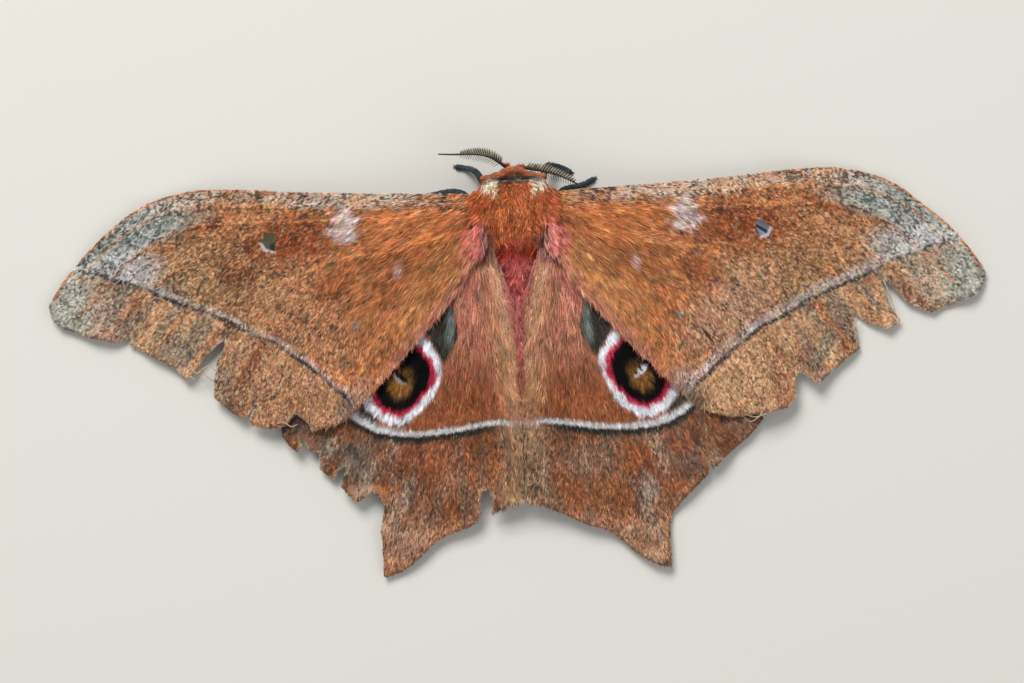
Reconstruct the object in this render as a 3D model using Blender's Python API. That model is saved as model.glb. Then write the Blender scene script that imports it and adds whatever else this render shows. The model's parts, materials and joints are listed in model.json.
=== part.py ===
# Imbrasia epimethea moth at rest with its wings spread flat, life size
# Metres, +Z up, head toward +Y, body axis on X = 0, floor at Z = 0
# Every size below is in millimetres and is scaled once, where a mesh is made
import bpy
import bmesh
import random
import numpy as np
from math import cos, exp, pi, sin
from mathutils import Matrix, Vector
from mathutils.geometry import delaunay_2d_cdt

MM = 0.001
GAP = 0.3

# Wing plates
WING_SPAN = 130.0
MEMBRANE = 0.5
WING_LOW = 1.35
WING_LAP = 1.1
WING_REACH = 17.0
VEIN_RISE = 0.2
VEIN_HALF = 0.45

# Height of the hindwing's upper face over the body axis, by distance along the body
WING_CREST = ((-29.5, 1.6), (-24.0, 2.3), (-19.0, 3.7), (-15.0, 5.1), (-10.0, 7.0), (-5.0, 8.3), (5.0, 9.3),
              (14.0, 9.6), (20.0, 9.2), (23.0, 7.7), (26.5, 6.4))

# Thorax sections: place along Y, half width, underside, top
THORAX = ((13.4, 3.5, 2.2, 8.4), (15.0, 4.3, 1.9, 9.4), (17.0, 4.9, 1.6, 10.5), (19.5, 5.1, 1.5, 11.0),
          (21.5, 5.1, 1.6, 10.9), (22.2, 5.0, 1.9, 10.7), (22.5, 5.0, 7.2, 10.6), (23.6, 4.8, 7.2, 10.2),
          (24.3, 4.3, 7.3, 9.7), (24.6, 3.7, 7.5, 9.2))
THORAX_POWER = 2.3
LOCK_LENGTH = 2.7
LOCK_WIDTH = 1.2
LOCK_THICK = 0.5
THORAX_BACK = THORAX[0][0]
THORAX_FRONT = THORAX[-1][0]
NECK_WALL = THORAX[6][0]
HOOD_UNDER = THORAX[6][2]

# Abdomen sections: distance behind the thorax, half width, underside, top
ABDOMEN = ((0.0, 3.5, 1.9, 8.2), (3.0, 3.9, 1.0, 8.2), (9.0, 4.0, 0.8, 8.0), (15.0, 3.8, 0.8, 7.5),
           (20.0, 3.1, 1.0, 6.5), (23.5, 2.2, 1.4, 5.1), (25.5, 1.1, 2.0, 3.8))
ABDOMEN_RINGS = 8
RING_DEPTH = 0.16

# Head and its parts
HEAD_HALF = (2.5, 1.95, 2.35)
NECK_RADIUS = 1.25
NECK_LENGTH = 0.7
HEAD_Y = NECK_WALL + GAP + NECK_LENGTH * 0.5 + HEAD_HALF[1] - 0.25
HEAD_Z = HOOD_UNDER - GAP - HEAD_HALF[2]
EYE_RADIUS = 1.25
EYE_X = 2.25
SOCKET_X = 0.95
SOCKET_RADIUS = 0.36
PALP_LENGTH = 1.5

# Collar, a raised band before the thorax
COLLAR_HALF_SPAN = 4.1
COLLAR_PEAK = 1.05
COLLAR_DEEP = 0.7
COLLAR_TALL = 1.7

# Feelers
FEELER_RADIUS = 0.25
RAMUS_LENGTH = 1.1
RAMUS_PAIRS = 15

# Legs
FEMUR_RADIUS = 0.46
TIBIA_RADIUS = 0.38
FOOT_RADIUS = 0.3

# Outline of a whole forewing, right side, from the shoulder round the apex to the inner root
FOREWING_FRONT = ((6.2, 23.0), (10.0, 23.3), (20.0, 23.8), (30.0, 24.4), (40.0, 25.2), (46.0, 25.0),
                  (52.0, 23.1), (58.0, 18.6), (62.0, 14.5), (64.5, 11.0))
FOREWING_APEX = ((65.0, 9.9), (64.7, 8.5), (63.6, 7.0))
FOREWING_OUTER = ((60.0, 5.6), (56.0, 4.5), (50.0, 2.0), (44.0, -2.3), (39.5, -6.1), (36.5, -7.8), (33.0, -8.4),
                  (28.9, -8.8))
FOREWING_INNER = ((26.5, -8.0), (24.1, -6.9), (20.0, -2.9), (14.0, 3.5), (10.0, 7.9), (7.5, 10.8), (6.0, 13.4))
FOREWING_ROOT = (15.2, 22.6, 5.0)

# Outline of a whole hindwing, from the front root round the tail to the inner root
HINDWING_FRONT = ((5.8, 16.2), (12.0, 13.6), (20.0, 8.6), (27.0, 2.6), (31.8, -3.4), (33.4, -7.6))
HINDWING_OUTER = ((33.3, -9.2), (31.4, -11.4), (28.0, -14.2), (24.6, -17.4), (21.4, -20.6), (20.1, -22.6),
                  (19.9, -26.5), (20.0, -29.2))
HINDWING_TAIL = ((19.6, -29.25), (17.3, -28.5), (15.0, -26.9), (12.0, -24.2), (8.0, -22.7), (4.0, -20.6),
                 (0.5, -19.3))
HINDWING_INNER = ((0.16, -19.0), (0.16, -6.0), (0.2, 4.0), (0.5, 6.8), (1.1, 9.0), (1.8, 11.5), (2.6, 13.0))
HINDWING_ROOT = (14.2, 16.0, 4.2)

# Tears in the margins: each runs from a point on the whole margin to a later one
FOREWING_TEARS = {
    "left": (
        ((56.0, 4.6), (54.3, 5.0), (53.7, 5.1), (54.2, 4.3), (53.0, 3.7)),
        ((47.6, 0.3), (46.3, -1.0), (45.0, 0.2), (43.5, 2.3), (41.3, 4.2), (40.8, 4.2), (40.8, 3.4), (42.0, 1.2),
         (42.3, -1.0), (42.5, -3.6)),
        ((39.0, -6.4), (38.3, -6.5), (36.7, -4.6), (36.5, -4.7), (37.8, -7.2), (37.0, -7.7)),
        ((33.6, -8.1), (32.5, -7.4), (31.5, -6.2), (31.0, -6.3), (29.5, -7.6), (29.1, -8.7)),
    ),
    "right": (
        ((57.6, 4.7), (55.9, 5.2), (54.0, 6.1), (52.0, 8.4), (50.7, 9.6), (50.4, 9.2), (51.4, 6.0), (52.9, 3.7),
         (51.3, 2.5), (48.3, 3.6), (46.6, 4.9), (46.4, 4.6), (46.8, 2.4), (47.1, 0.0)),
        ((41.3, -4.5), (40.5, -4.5), (40.1, -3.9), (38.6, -2.9), (38.3, -3.0), (37.9, -4.8), (38.0, -6.2),
         (37.2, -7.3)),
    ),
}
HINDWING_TEARS = {
    "left": (
        ((31.2, -11.5), (30.7, -10.4), (30.3, -10.2), (29.5, -11.3), (28.2, -11.6), (28.2, -14.0)),
        ((26.8, -15.3), (26.1, -15.3), (26.0, -14.4), (24.5, -13.6), (24.5, -13.9), (25.4, -16.4)),
        ((23.5, -18.5), (22.9, -18.7), (21.7, -17.7), (20.6, -17.6), (20.0, -18.5), (19.4, -19.4), (19.9, -21.6),
         (20.1, -23.0)),
        ((6.8, -22.1), (6.2, -20.9), (6.3, -18.8), (5.8, -17.6), (5.0, -17.5), (4.4, -18.6), (4.6, -20.9)),
    ),
    "right": (
        ((26.3, -15.9), (25.8, -15.1), (25.6, -15.2), (25.7, -16.3)),
    ),
}
# Slit in the right forewing, as a line with a widest opening
SLIT_LINE = ((24.9, 4.2), (26.2, 2.3), (27.6, 0.7))
SLIT_WIDE = 0.42

# Main veins, each from root to margin
FOREWING_VEINS = (
    ((6.0, 21.6), (20.0, 22.3), (34.0, 22.6), (46.0, 22.6), (54.0, 19.6), (61.0, 13.2)),
    ((6.0, 19.6), (20.0, 20.2), (33.0, 20.2), (45.0, 20.2), (52.0, 17.0), (56.5, 13.0), (61.6, 7.8)),
    ((34.6, 19.2), (37.0, 18.2), (46.0, 14.8), (52.0, 10.8), (57.0, 5.6)),
    ((35.0, 16.4), (43.0, 11.2), (48.0, 6.4), (50.6, 3.2)),
    ((33.0, 14.6), (39.0, 9.0), (43.5, 3.4), (46.0, -0.4)),
    ((6.0, 18.0), (18.0, 15.6), (27.0, 14.2), (33.0, 9.0), (37.5, 2.0), (40.6, -3.8)),
    ((22.8, 13.8), (27.0, 8.0), (32.0, -0.5), (34.6, -7.4)),
    ((6.2, 16.2), (12.0, 10.0), (19.0, 2.6), (24.0, -3.0), (27.4, -7.6)),
)
HINDWING_VEINS = (
    ((6.5, 14.6), (16.0, 9.2), (24.0, 2.6), (29.0, -4.6), (31.5, -10.2)),
    ((6.0, 13.8), (13.0, 7.6), (19.0, 0.4), (24.0, -7.4), (27.0, -14.0)),
    ((17.0, 1.8), (19.6, -5.6), (22.0, -12.6), (23.2, -18.0)),
    ((5.2, 13.2), (11.0, 4.6), (16.0, -5.0), (18.2, -16.0), (19.0, -27.4)),
    ((12.4, 0.0), (13.4, -8.0), (13.8, -16.0), (14.6, -25.2)),
    ((4.4, 12.4), (7.6, 2.0), (8.4, -8.0), (8.8, -21.8)),
    ((3.0, 11.4), (3.4, 0.0), (2.9, -10.0), (2.8, -19.4)),
)

# Feeler and leg lines, left and right differ as in the pose
FEELER_LINE = {
    "left": ((-1.25, 26.95, 6.3), (-2.7, 27.95, 6.6), (-4.0, 28.4, 6.5), (-5.6, 28.6, 6.2), (-8.0, 28.65, 5.7),
             (-10.2, 28.8, 5.3)),
    "right": ((1.45, 26.6, 6.2), (2.6, 26.25, 6.2), (4.1, 25.95, 6.0), (5.6, 25.5, 5.8), (7.1, 24.9, 5.5),
              (8.7, 24.05, 5.2)),
}
LEG_LINE = {
    "leg_front_left": ((-2.5, 21.2, 1.15), (-3.4, 22.9, 1.5), (-4.2, 24.7, 2.9), (-5.2, 26.4, 2.2), (-6.6, 27.05, 0.6),
                       (-8.0, 27.3, 0.25)),
    "leg_front_right": ((2.5, 21.2, 1.15), (3.3, 22.9, 1.5), (4.0, 24.9, 3.0), (4.8, 26.8, 2.3), (6.4, 26.75, 0.6),
                        (8.1, 25.9, 0.25)),
    "leg_mid_left": ((-3.3, 19.9, 1.2), (-5.7, 21.9, 2.4), (-7.2, 23.4, 2.9), (-9.2, 23.75, 1.7), (-11.2, 23.5, 0.5),
                     (-13.0, 23.1, 0.25)),
    "leg_mid_right": ((3.3, 19.9, 1.2), (5.7, 21.9, 2.4), (6.8, 23.3, 2.9), (8.4, 23.8, 1.7), (9.8, 24.25, 0.5),
                      (11.3, 25.0, 0.25)),
    "leg_hind_left": ((-3.0, 17.2, 1.25), (-6.8, 14.0, 3.6), (-9.6, 6.6, 2.0), (-11.2, 1.2, 0.5), (-12.2, -2.2, 0.25)),
    "leg_hind_right": ((3.0, 17.2, 1.25), (6.8, 14.0, 3.6), (9.6, 6.6, 2.0), (11.2, 1.2, 0.5), (12.2, -2.2, 0.25)),
}


def hex_linear(code):
    parts = [int(code[i:i + 2], 16) / 255.0 for i in (1, 3, 5)]
    return [p / 12.92 if p <= 0.04045 else ((p + 0.055) / 1.055) ** 2.4 for p in parts] + [1.0]


def material(name, code, rough):
    mat = bpy.data.materials.new(name)
    mat.use_nodes = True
    mat.diffuse_color = hex_linear(code)
    shader = mat.node_tree.nodes["Principled BSDF"]
    shader.inputs["Base Color"].default_value = hex_linear(code)
    shader.inputs["Roughness"].default_value = rough
    return mat


def mesh_object(name, verts, faces, mat=None):
    mesh = bpy.data.meshes.new(name)
    mesh.from_pydata([tuple(c * MM for c in v) for v in verts], [], [tuple(f) for f in faces])
    bm = bmesh.new()
    bm.from_mesh(mesh)
    bmesh.ops.triangulate(bm, faces=bm.faces[:])
    bmesh.ops.recalc_face_normals(bm, faces=bm.faces[:])
    bm.to_mesh(mesh)
    bm.free()
    ob = bpy.data.objects.new(name, mesh)
    bpy.context.scene.collection.objects.link(ob)
    if mat is not None:
        mesh.materials.append(mat)
    return ob


def hermite(x, table, column=1):
    # Smooth value between the rows of a size table, with no overshoot
    xs = [row[0] for row in table]
    ys = [row[column] for row in table]
    if x <= xs[0]:
        return ys[0]
    if x >= xs[-1]:
        return ys[-1]
    slopes = [(ys[i + 1] - ys[i]) / (xs[i + 1] - xs[i]) for i in range(len(xs) - 1)]
    i = max(k for k in range(len(xs) - 1) if xs[k] <= x)

    def tangent(k):
        if k == 0 or k == len(xs) - 1:
            return 0.0
        a, b = slopes[k - 1], slopes[k]
        return 0.0 if a * b <= 0 else 2.0 * a * b / (a + b)

    h = xs[i + 1] - xs[i]
    t = (x - xs[i]) / h
    m0, m1 = tangent(i) * h, tangent(i + 1) * h
    return ((2 * t ** 3 - 3 * t ** 2 + 1) * ys[i] + (t ** 3 - 2 * t ** 2 + t) * m0
            + (-2 * t ** 3 + 3 * t ** 2) * ys[i + 1] + (t ** 3 - t ** 2) * m1)


def curve_points(points, step):
    # Smooth line through control points, sampled at about the step
    pts = [Vector(p) for p in points]
    pts = [pts[0] * 2 - pts[1]] + pts + [pts[-1] * 2 - pts[-2]]
    out = []
    for a, b, c, d in zip(pts, pts[1:], pts[2:], pts[3:]):
        count = max(1, round((c - b).length / step))
        for k in range(count):
            t = k / count
            out.append(0.5 * (2 * b + (c - a) * t + (2 * a - 5 * b + 4 * c - d) * t * t
                              + (3 * b - a - 3 * c + d) * t ** 3))
    out.append(pts[-2])
    return out


def smooth(x, low, high):
    t = min(1.0, max(0.0, (x - low) / (high - low)))
    return t * t * (3 - 2 * t)


def hindwing_top(x, y):
    fall = exp(-(abs(x) / WING_REACH) ** 1.5)
    return WING_LOW + (hermite(y, WING_CREST) - WING_LOW) * fall


def forewing_top(x, y):
    return hindwing_top(x, y) + WING_LAP * (1.0 - smooth(abs(x), 33.0, 47.0))


def section_half(table, power, y, z):
    # Half width of a body at a place along Y and a height
    half, low, high = (hermite(y, table, k) for k in (1, 2, 3))
    rise = abs(z - (low + high) / 2) / ((high - low) / 2)
    return half * max(0.0, 1.0 - rise ** power) ** (1.0 / power)


def splice(outline, tear):
    # Puts a tear in place of the stretch of margin between its two ends
    def nearest(p):
        return min(range(len(outline)), key=lambda i: (outline[i] - Vector(p)).length)

    a, b = sorted((nearest(tear[0]), nearest(tear[-1])))
    return outline[:a] + [Vector(p) for p in tear] + outline[b + 1:]


def inside(points, outline):
    poly = np.array([tuple(p) for p in outline])
    hit = np.zeros(len(points), bool)
    for (x0, y0), (x1, y1) in zip(poly, np.roll(poly, -1, 0)):
        if y0 == y1:
            continue
        cross = (points[:, 1] > y0) != (points[:, 1] > y1)
        hit ^= cross & (points[:, 0] < (x1 - x0) * (points[:, 1] - y0) / (y1 - y0) + x0)
    return hit


def edge_distance(points, outline):
    poly = np.array([tuple(p) for p in outline])
    best = np.full(len(points), 1e9)
    for a, b in zip(poly, np.roll(poly, -1, 0)):
        ab = b - a
        t = np.clip(((points - a) @ ab) / max(1e-9, ab @ ab), 0, 1)
        best = np.minimum(best, np.linalg.norm(points - (a + t[:, None] * ab), axis=1))
    return best


def thin(points, apart):
    keep = []
    for p in points:
        if not keep or (p - keep[-1]).length > apart:
            keep.append(p)
    if (keep[0] - keep[-1]).length < apart:
        keep.pop()
    return keep


def wing(name, side, outline, veins, slit, top, mat):
    # A membrane with raised veins, cut alike on its upper and lower face
    loops = [outline] + ([slit] if slit else [])
    pts = []
    rises = []
    edges = []
    for loop in loops:
        start = len(pts)
        pts += [tuple(p) for p in loop]
        rises += [0.0] * len(loop)
        edges += [(start + i, start + (i + 1) % len(loop)) for i in range(len(loop))]

    def free(candidates, margin, apart):
        c = np.array(candidates)
        ok = inside(c, outline) & (edge_distance(c, outline) > margin)
        if slit:
            ok &= ~inside(c, slit) & (edge_distance(c, slit) > margin)
        placed = np.array(pts)
        ok &= np.array([np.min(np.hypot(*(placed - p).T)) > apart for p in c])
        return ok

    for vein in veins:
        line = curve_points(vein, 2.8)
        for k, p in enumerate(line):
            ahead = (line[min(k + 1, len(line) - 1)] - line[max(k - 1, 0)]).normalized()
            across = Vector((-ahead.y, ahead.x)) * VEIN_HALF
            trio = [tuple(p), tuple(p + across), tuple(p - across)]
            if not all(free(trio, 0.5, 0.55)):
                continue
            pts += trio
            rises += [VEIN_RISE * (1.0 - 0.4 * k / len(line)), 0.0, 0.0]
    low = np.min(np.array(pts), axis=0)
    high = np.max(np.array(pts), axis=0)
    pitch = 3.0
    rows = np.arange(low[1], high[1], pitch * 0.866)
    for r, y in enumerate(rows):
        row = [(x + (r % 2) * pitch / 2, y) for x in np.arange(low[0], high[0], pitch)]
        for q, good in zip(row, free(row, 0.9, 1.4)):
            if good:
                pts.append(q)
                rises.append(0.0)
    flat, _, tris, origin, _, _ = delaunay_2d_cdt([Vector(p) for p in pts], edges, [], 1, 1e-5)
    centres = np.array([tuple(sum((flat[i] for i in t), Vector((0, 0))) / 3) for t in tris])
    if slit:
        tris = [t for t, gone in zip(tris, inside(centres, slit)) if not gone]
    sign = -1.0 if side == "left" else 1.0
    count = len(flat)
    upper = []
    lower = []
    for p, source in zip(flat, origin):
        rise = max([rises[i] for i in source if i < len(rises)] or [0.0])
        z = top(p.x, p.y)
        upper.append((sign * p.x, p.y, z + rise))
        lower.append((sign * p.x, p.y, z - MEMBRANE))
    faces = [tuple(t) for t in tris] + [tuple(count + i for i in reversed(t)) for t in tris]
    seen = {}
    for t in tris:
        for a, b in zip(t, tuple(t[1:]) + (t[0],)):
            seen[(a, b)] = True
    for a, b in seen:
        if (b, a) not in seen:
            faces += [(b, a, count + a), (b, count + a, count + b)]
    return mesh_object(name, upper + lower, faces, mat)


def wing_outline(parts, tears, root, top, step):
    # Whole margin through the control points, then torn, then closed along the thorax's side
    line = []
    for part in parts:
        line += curve_points(part, step)
    for tear in tears:
        line = splice(line, tear)
    count = max(3, round((root[1] - root[0]) / 1.0))
    for y in np.linspace(root[0], root[1], count):
        face = top(4.6, y)
        edge = max(section_half(THORAX, THORAX_POWER, y, face + dz) for dz in (-MEMBRANE - 0.2, 0.2))
        line.append(Vector((max(edge + GAP * 1.15, root[2]), y)))
    return thin(line, 0.12)


def slit_loop():
    line = curve_points(SLIT_LINE, 1.0)
    n = len(line) - 1
    ahead = (line[-1] - line[0]).normalized()
    across = Vector((-ahead.y, ahead.x))
    one = [p + across * (SLIT_WIDE / 2) * sin(pi * i / n) for i, p in enumerate(line)]
    two = [p - across * (SLIT_WIDE / 2) * sin(pi * i / n) for i, p in enumerate(line)]
    return one + two[-2:0:-1]


def loft(name, table, power, around, along, mat, shape=None):
    # Closed body through rounded sections along Y, with flat ends
    first, last = table[0][0], table[-1][0]
    places = sorted(set([row[0] for row in table] + list(np.linspace(first, last, along))))
    places = [y for i, y in enumerate(places) if i == 0 or y - places[i - 1] > 0.12]
    verts = []
    for y in places:
        half, low, high = (hermite(y, table, k) for k in (1, 2, 3))
        for k in range(around):
            a = 2 * pi * k / around
            c, s = cos(a), sin(a)
            x = half * (1 if c >= 0 else -1) * abs(c) ** (2 / power)
            z = (low + high) / 2 + (high - low) / 2 * (1 if s >= 0 else -1) * abs(s) ** (2 / power)
            if shape:
                x, z = shape(x, y, z, a)
            verts.append((x, y, z))
    faces = []
    rings = len(places)
    for r in range(rings - 1):
        for k in range(around):
            j = (k + 1) % around
            a, b, c, d = (r * around + k, r * around + j, (r + 1) * around + j, (r + 1) * around + k)
            faces += [(a, b, c), (a, c, d)]
    for r in (0, rings - 1):
        centre = len(verts)
        verts.append(tuple(np.mean(np.array(verts[r * around:(r + 1) * around]), axis=0)))
        faces += [(centre, r * around + k, r * around + (k + 1) % around) for k in range(around)]
    return mesh_object(name, verts, faces, mat)


def tube(name, points, radii, sides, mat=None, floor=None):
    # Round limb along a line; a floor flattens what would pass below it
    verts = []
    faces = []
    up = Vector((0, 0, 1))
    for k, p in enumerate(points):
        ahead = (points[min(k + 1, len(points) - 1)] - points[max(k - 1, 0)]).normalized()
        side = ahead.cross(up).normalized()
        top = side.cross(ahead)
        for s in range(sides):
            a = 2 * pi * (s + 0.5) / sides
            q = p + (side * cos(a) + top * sin(a)) * radii[k]
            if floor is not None:
                q.z = max(q.z, floor)
            verts.append(tuple(q))
    for r in range(len(points) - 1):
        for s in range(sides):
            t = (s + 1) % sides
            a, b, c, d = r * sides + s, r * sides + t, (r + 1) * sides + t, (r + 1) * sides + s
            faces += [(a, b, c), (a, c, d)]
    for r in (0, len(points) - 1):
        centre = len(verts)
        verts.append(tuple(np.mean(np.array(verts[r * sides:(r + 1) * sides]), axis=0)))
        faces += [(centre, r * sides + s, r * sides + (s + 1) % sides) for s in range(sides)]
    return mesh_object(name, verts, faces, mat)


def lock(name, root, heading, normal, length, width, thick, bend, sweep=0.0):
    # Flat tapering lock that bends away from its root along the lie of the coat
    heading = heading.normalized()
    across = heading.cross(normal).normalized()
    up = across.cross(heading).normalized()
    verts = []
    rings = ((-0.2, 0.8), (0.35, 1.0), (0.72, 0.62))
    for t, w in rings:
        centre = root + heading * length * t + up * bend * t * (1.6 - t) + across * sweep * t * t
        for a, b in ((-1, -1), (1, -1), (1, 1), (-1, 1)):
            verts.append(tuple(centre + across * a * width * w / 2 + up * b * thick * w / 2))
    verts.append(tuple(root + heading * length + up * bend * 0.6 + across * sweep))
    faces = [(0, 1, 2, 3)]
    for r in range(len(rings) - 1):
        for s in range(4):
            t = (s + 1) % 4
            faces.append((r * 4 + s, r * 4 + t, r * 4 + 4 + t, r * 4 + 4 + s))
    tip = len(verts) - 1
    faces += [(8 + s, 8 + (s + 1) % 4, tip) for s in range(4)]
    return mesh_object(name, verts, faces)


def spike(name, root, heading, length, radius):
    # Four-sided rod that tapers to a point
    side = heading.cross(Vector((0, 0, 1))).normalized()
    top = side.cross(heading)
    verts = []
    for t, w in ((0.0, 1.0), (0.6, 0.8)):
        for a, b in ((1, 0), (0, 1), (-1, 0), (0, -1)):
            verts.append(tuple(root + heading * length * t + (side * a + top * b) * radius * w))
    verts.append(tuple(root + heading * length))
    faces = [(0, 1, 2, 3)]
    for s in range(4):
        t = (s + 1) % 4
        faces += [(s, t, 4 + t, 4 + s), (4 + s, 4 + t, 8)]
    return mesh_object(name, verts, faces)


def ball(name, centre, half, rings, around, shape=None):
    verts = [(centre[0], centre[1], centre[2] - half[2])]
    for r in range(1, rings):
        lat = pi * r / rings - pi / 2
        for k in range(around):
            a = 2 * pi * k / around
            d = Vector((cos(lat) * cos(a), cos(lat) * sin(a), sin(lat)))
            scale = shape(d) if shape else 1.0
            verts.append(tuple(centre[i] + half[i] * d[i] * scale for i in range(3)))
    verts.append((centre[0], centre[1], centre[2] + half[2]))
    faces = [(0, 1 + k, 1 + (k + 1) % around) for k in range(around)]
    for r in range(rings - 2):
        for k in range(around):
            j = (k + 1) % around
            a = 1 + r * around
            faces += [(a + k, a + j, a + around + j), (a + k, a + around + j, a + around + k)]
    a = 1 + (rings - 2) * around
    faces += [(a + k, a + (k + 1) % around, len(verts) - 1) for k in range(around)]
    return mesh_object(name, verts, faces)


def combine(core, pieces, how):
    # One Boolean of a core with a group of closed pieces, keeping the largest closed surface
    group = bpy.data.collections.new(core.name + "_group")
    bpy.context.scene.collection.children.link(group)
    for piece in pieces:
        bpy.context.scene.collection.objects.unlink(piece)
        group.objects.link(piece)
    mod = core.modifiers.new("combine", "BOOLEAN")
    mod.operand_type = "COLLECTION"
    mod.collection = group
    mod.operation = how
    mod.solver = "EXACT"
    depsgraph = bpy.context.evaluated_depsgraph_get()
    made = bpy.data.meshes.new_from_object(core.evaluated_get(depsgraph))
    core.modifiers.remove(mod)
    mats = [m for m in core.data.materials]
    core.data = made
    core.data.materials.clear()
    for m in mats:
        core.data.materials.append(m)
    for piece in pieces:
        bpy.data.objects.remove(piece)
    bpy.data.collections.remove(group)
    bm = bmesh.new()
    bm.from_mesh(core.data)
    bmesh.ops.triangulate(bm, faces=bm.faces[:])
    left = set(bm.verts)
    islands = []
    while left:
        stack = [left.pop()]
        found = list(stack)
        while stack:
            for e in stack.pop().link_edges:
                for v in e.verts:
                    if v in left:
                        left.remove(v)
                        stack.append(v)
                        found.append(v)
        islands.append(found)
    islands.sort(key=len)
    bmesh.ops.delete(bm, geom=[v for isle in islands[:-1] for v in isle], context="VERTS")
    bmesh.ops.recalc_face_normals(bm, faces=bm.faces[:])
    bm.to_mesh(core.data)
    bm.free()
    return core


def build_wings(mats):
    fore = (FOREWING_FRONT, FOREWING_APEX, FOREWING_OUTER, FOREWING_INNER)
    hind = (HINDWING_FRONT, HINDWING_OUTER, HINDWING_TAIL, HINDWING_INNER)
    for side in ("left", "right"):
        line = wing_outline(fore, FOREWING_TEARS[side], FOREWING_ROOT, forewing_top, 1.4)
        slit = slit_loop() if side == "right" else None
        wing("forewing_" + side, side, line, FOREWING_VEINS, slit, forewing_top, mats["forewing"])
        line = wing_outline(hind, HINDWING_TEARS[side], HINDWING_ROOT, hindwing_top, 1.4)
        wing("hindwing_" + side, side, line, HINDWING_VEINS, None, hindwing_top, mats["hindwing"])


def thorax_point(y, angle):
    half, low, high = (hermite(y, THORAX, k) for k in (1, 2, 3))
    c, s = cos(angle), sin(angle)
    x = half * (1 if c >= 0 else -1) * abs(c) ** (2 / THORAX_POWER)
    z = (low + high) / 2 + (high - low) / 2 * (1 if s >= 0 else -1) * abs(s) ** (2 / THORAX_POWER)
    return Vector((x, y, z))


def build_thorax(mat):
    def lumps(x, y, z, a):
        # A shallow valley on each side of the middle shield
        dip = 0.35 * exp(-((abs(x) - 2.9) / 0.6) ** 2) * smooth(z, 8.0, 9.5) * smooth(22.8 - y, 0.0, 2.0)
        return x, z - dip

    core = loft("thorax", THORAX, THORAX_POWER, 22, 9, mat, lumps)
    rnd = random.Random(7)
    locks = []
    # Rows of the back run tailward, one over the next
    rows = ((23.8, 6, 1.5), (22.4, 7, 1.6), (20.9, 7, 1.65), (19.4, 7, 1.65), (17.9, 7, 1.5), (16.6, 5, 1.1),
            (15.3, 3, 0.7))
    for y, count, spread in rows:
        for k in range(count):
            a = pi / 2 + (k / (count - 1) - 0.5) * spread + rnd.uniform(-0.05, 0.05)
            place = y + rnd.uniform(-0.2, 0.2)
            at = thorax_point(place, a)
            fore, aft = thorax_point(place + 0.4, a), thorax_point(place - 0.4, a)
            away = (at - Vector((0, place, 6.0))).normalized()
            heading = (aft - fore).normalized() + Vector((0.16 * at.x / 5 + rnd.uniform(-0.1, 0.1), 0, 0))
            length = min(LOCK_LENGTH * rnd.uniform(0.85, 1.1), place - THORAX_BACK + 0.1)
            sweep = rnd.uniform(-0.3, 0.3)
            locks.append(lock("lock", at - away * 0.22, heading, away, length, LOCK_WIDTH, LOCK_THICK, 0.55, sweep))
    # Tufts that lie outward over the wing roots
    for side in (-1, 1):
        for k in range(7):
            y = 23.0 - 0.95 * k
            root = Vector((side * 4.25, y, forewing_top(5.0, y) + VEIN_RISE + 0.8))
            heading = Vector((side * 1.0, -0.3 - 0.07 * k, 0.0))
            length = 2.75 - 0.12 * abs(k - 2)
            locks.append(lock("tuft", root, heading, Vector((0, 0, 1)), length, 1.15, LOCK_THICK, 0.0, side * 0.9))
    return combine(core, locks, "UNION")


def build_abdomen(mat):
    length = ABDOMEN[-1][0]
    table = tuple((THORAX_BACK - GAP - row[0],) + row[1:] for row in reversed(ABDOMEN))

    def rings(x, y, z, a):
        along = (THORAX_BACK - GAP - y) / length
        groove = RING_DEPTH * abs(sin(pi * along * ABDOMEN_RINGS)) ** 0.6 * smooth(along, 0.0, 0.08)
        mid = (hermite(y, table, 2) + hermite(y, table, 3)) / 2
        grow = 1.0 - (RING_DEPTH - groove) / 3.2 * smooth(along, 0.0, 0.08)
        return x * grow, mid + (z - mid) * grow

    return loft("abdomen", table, 2.1, 18, 22, mat, rings)


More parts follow.
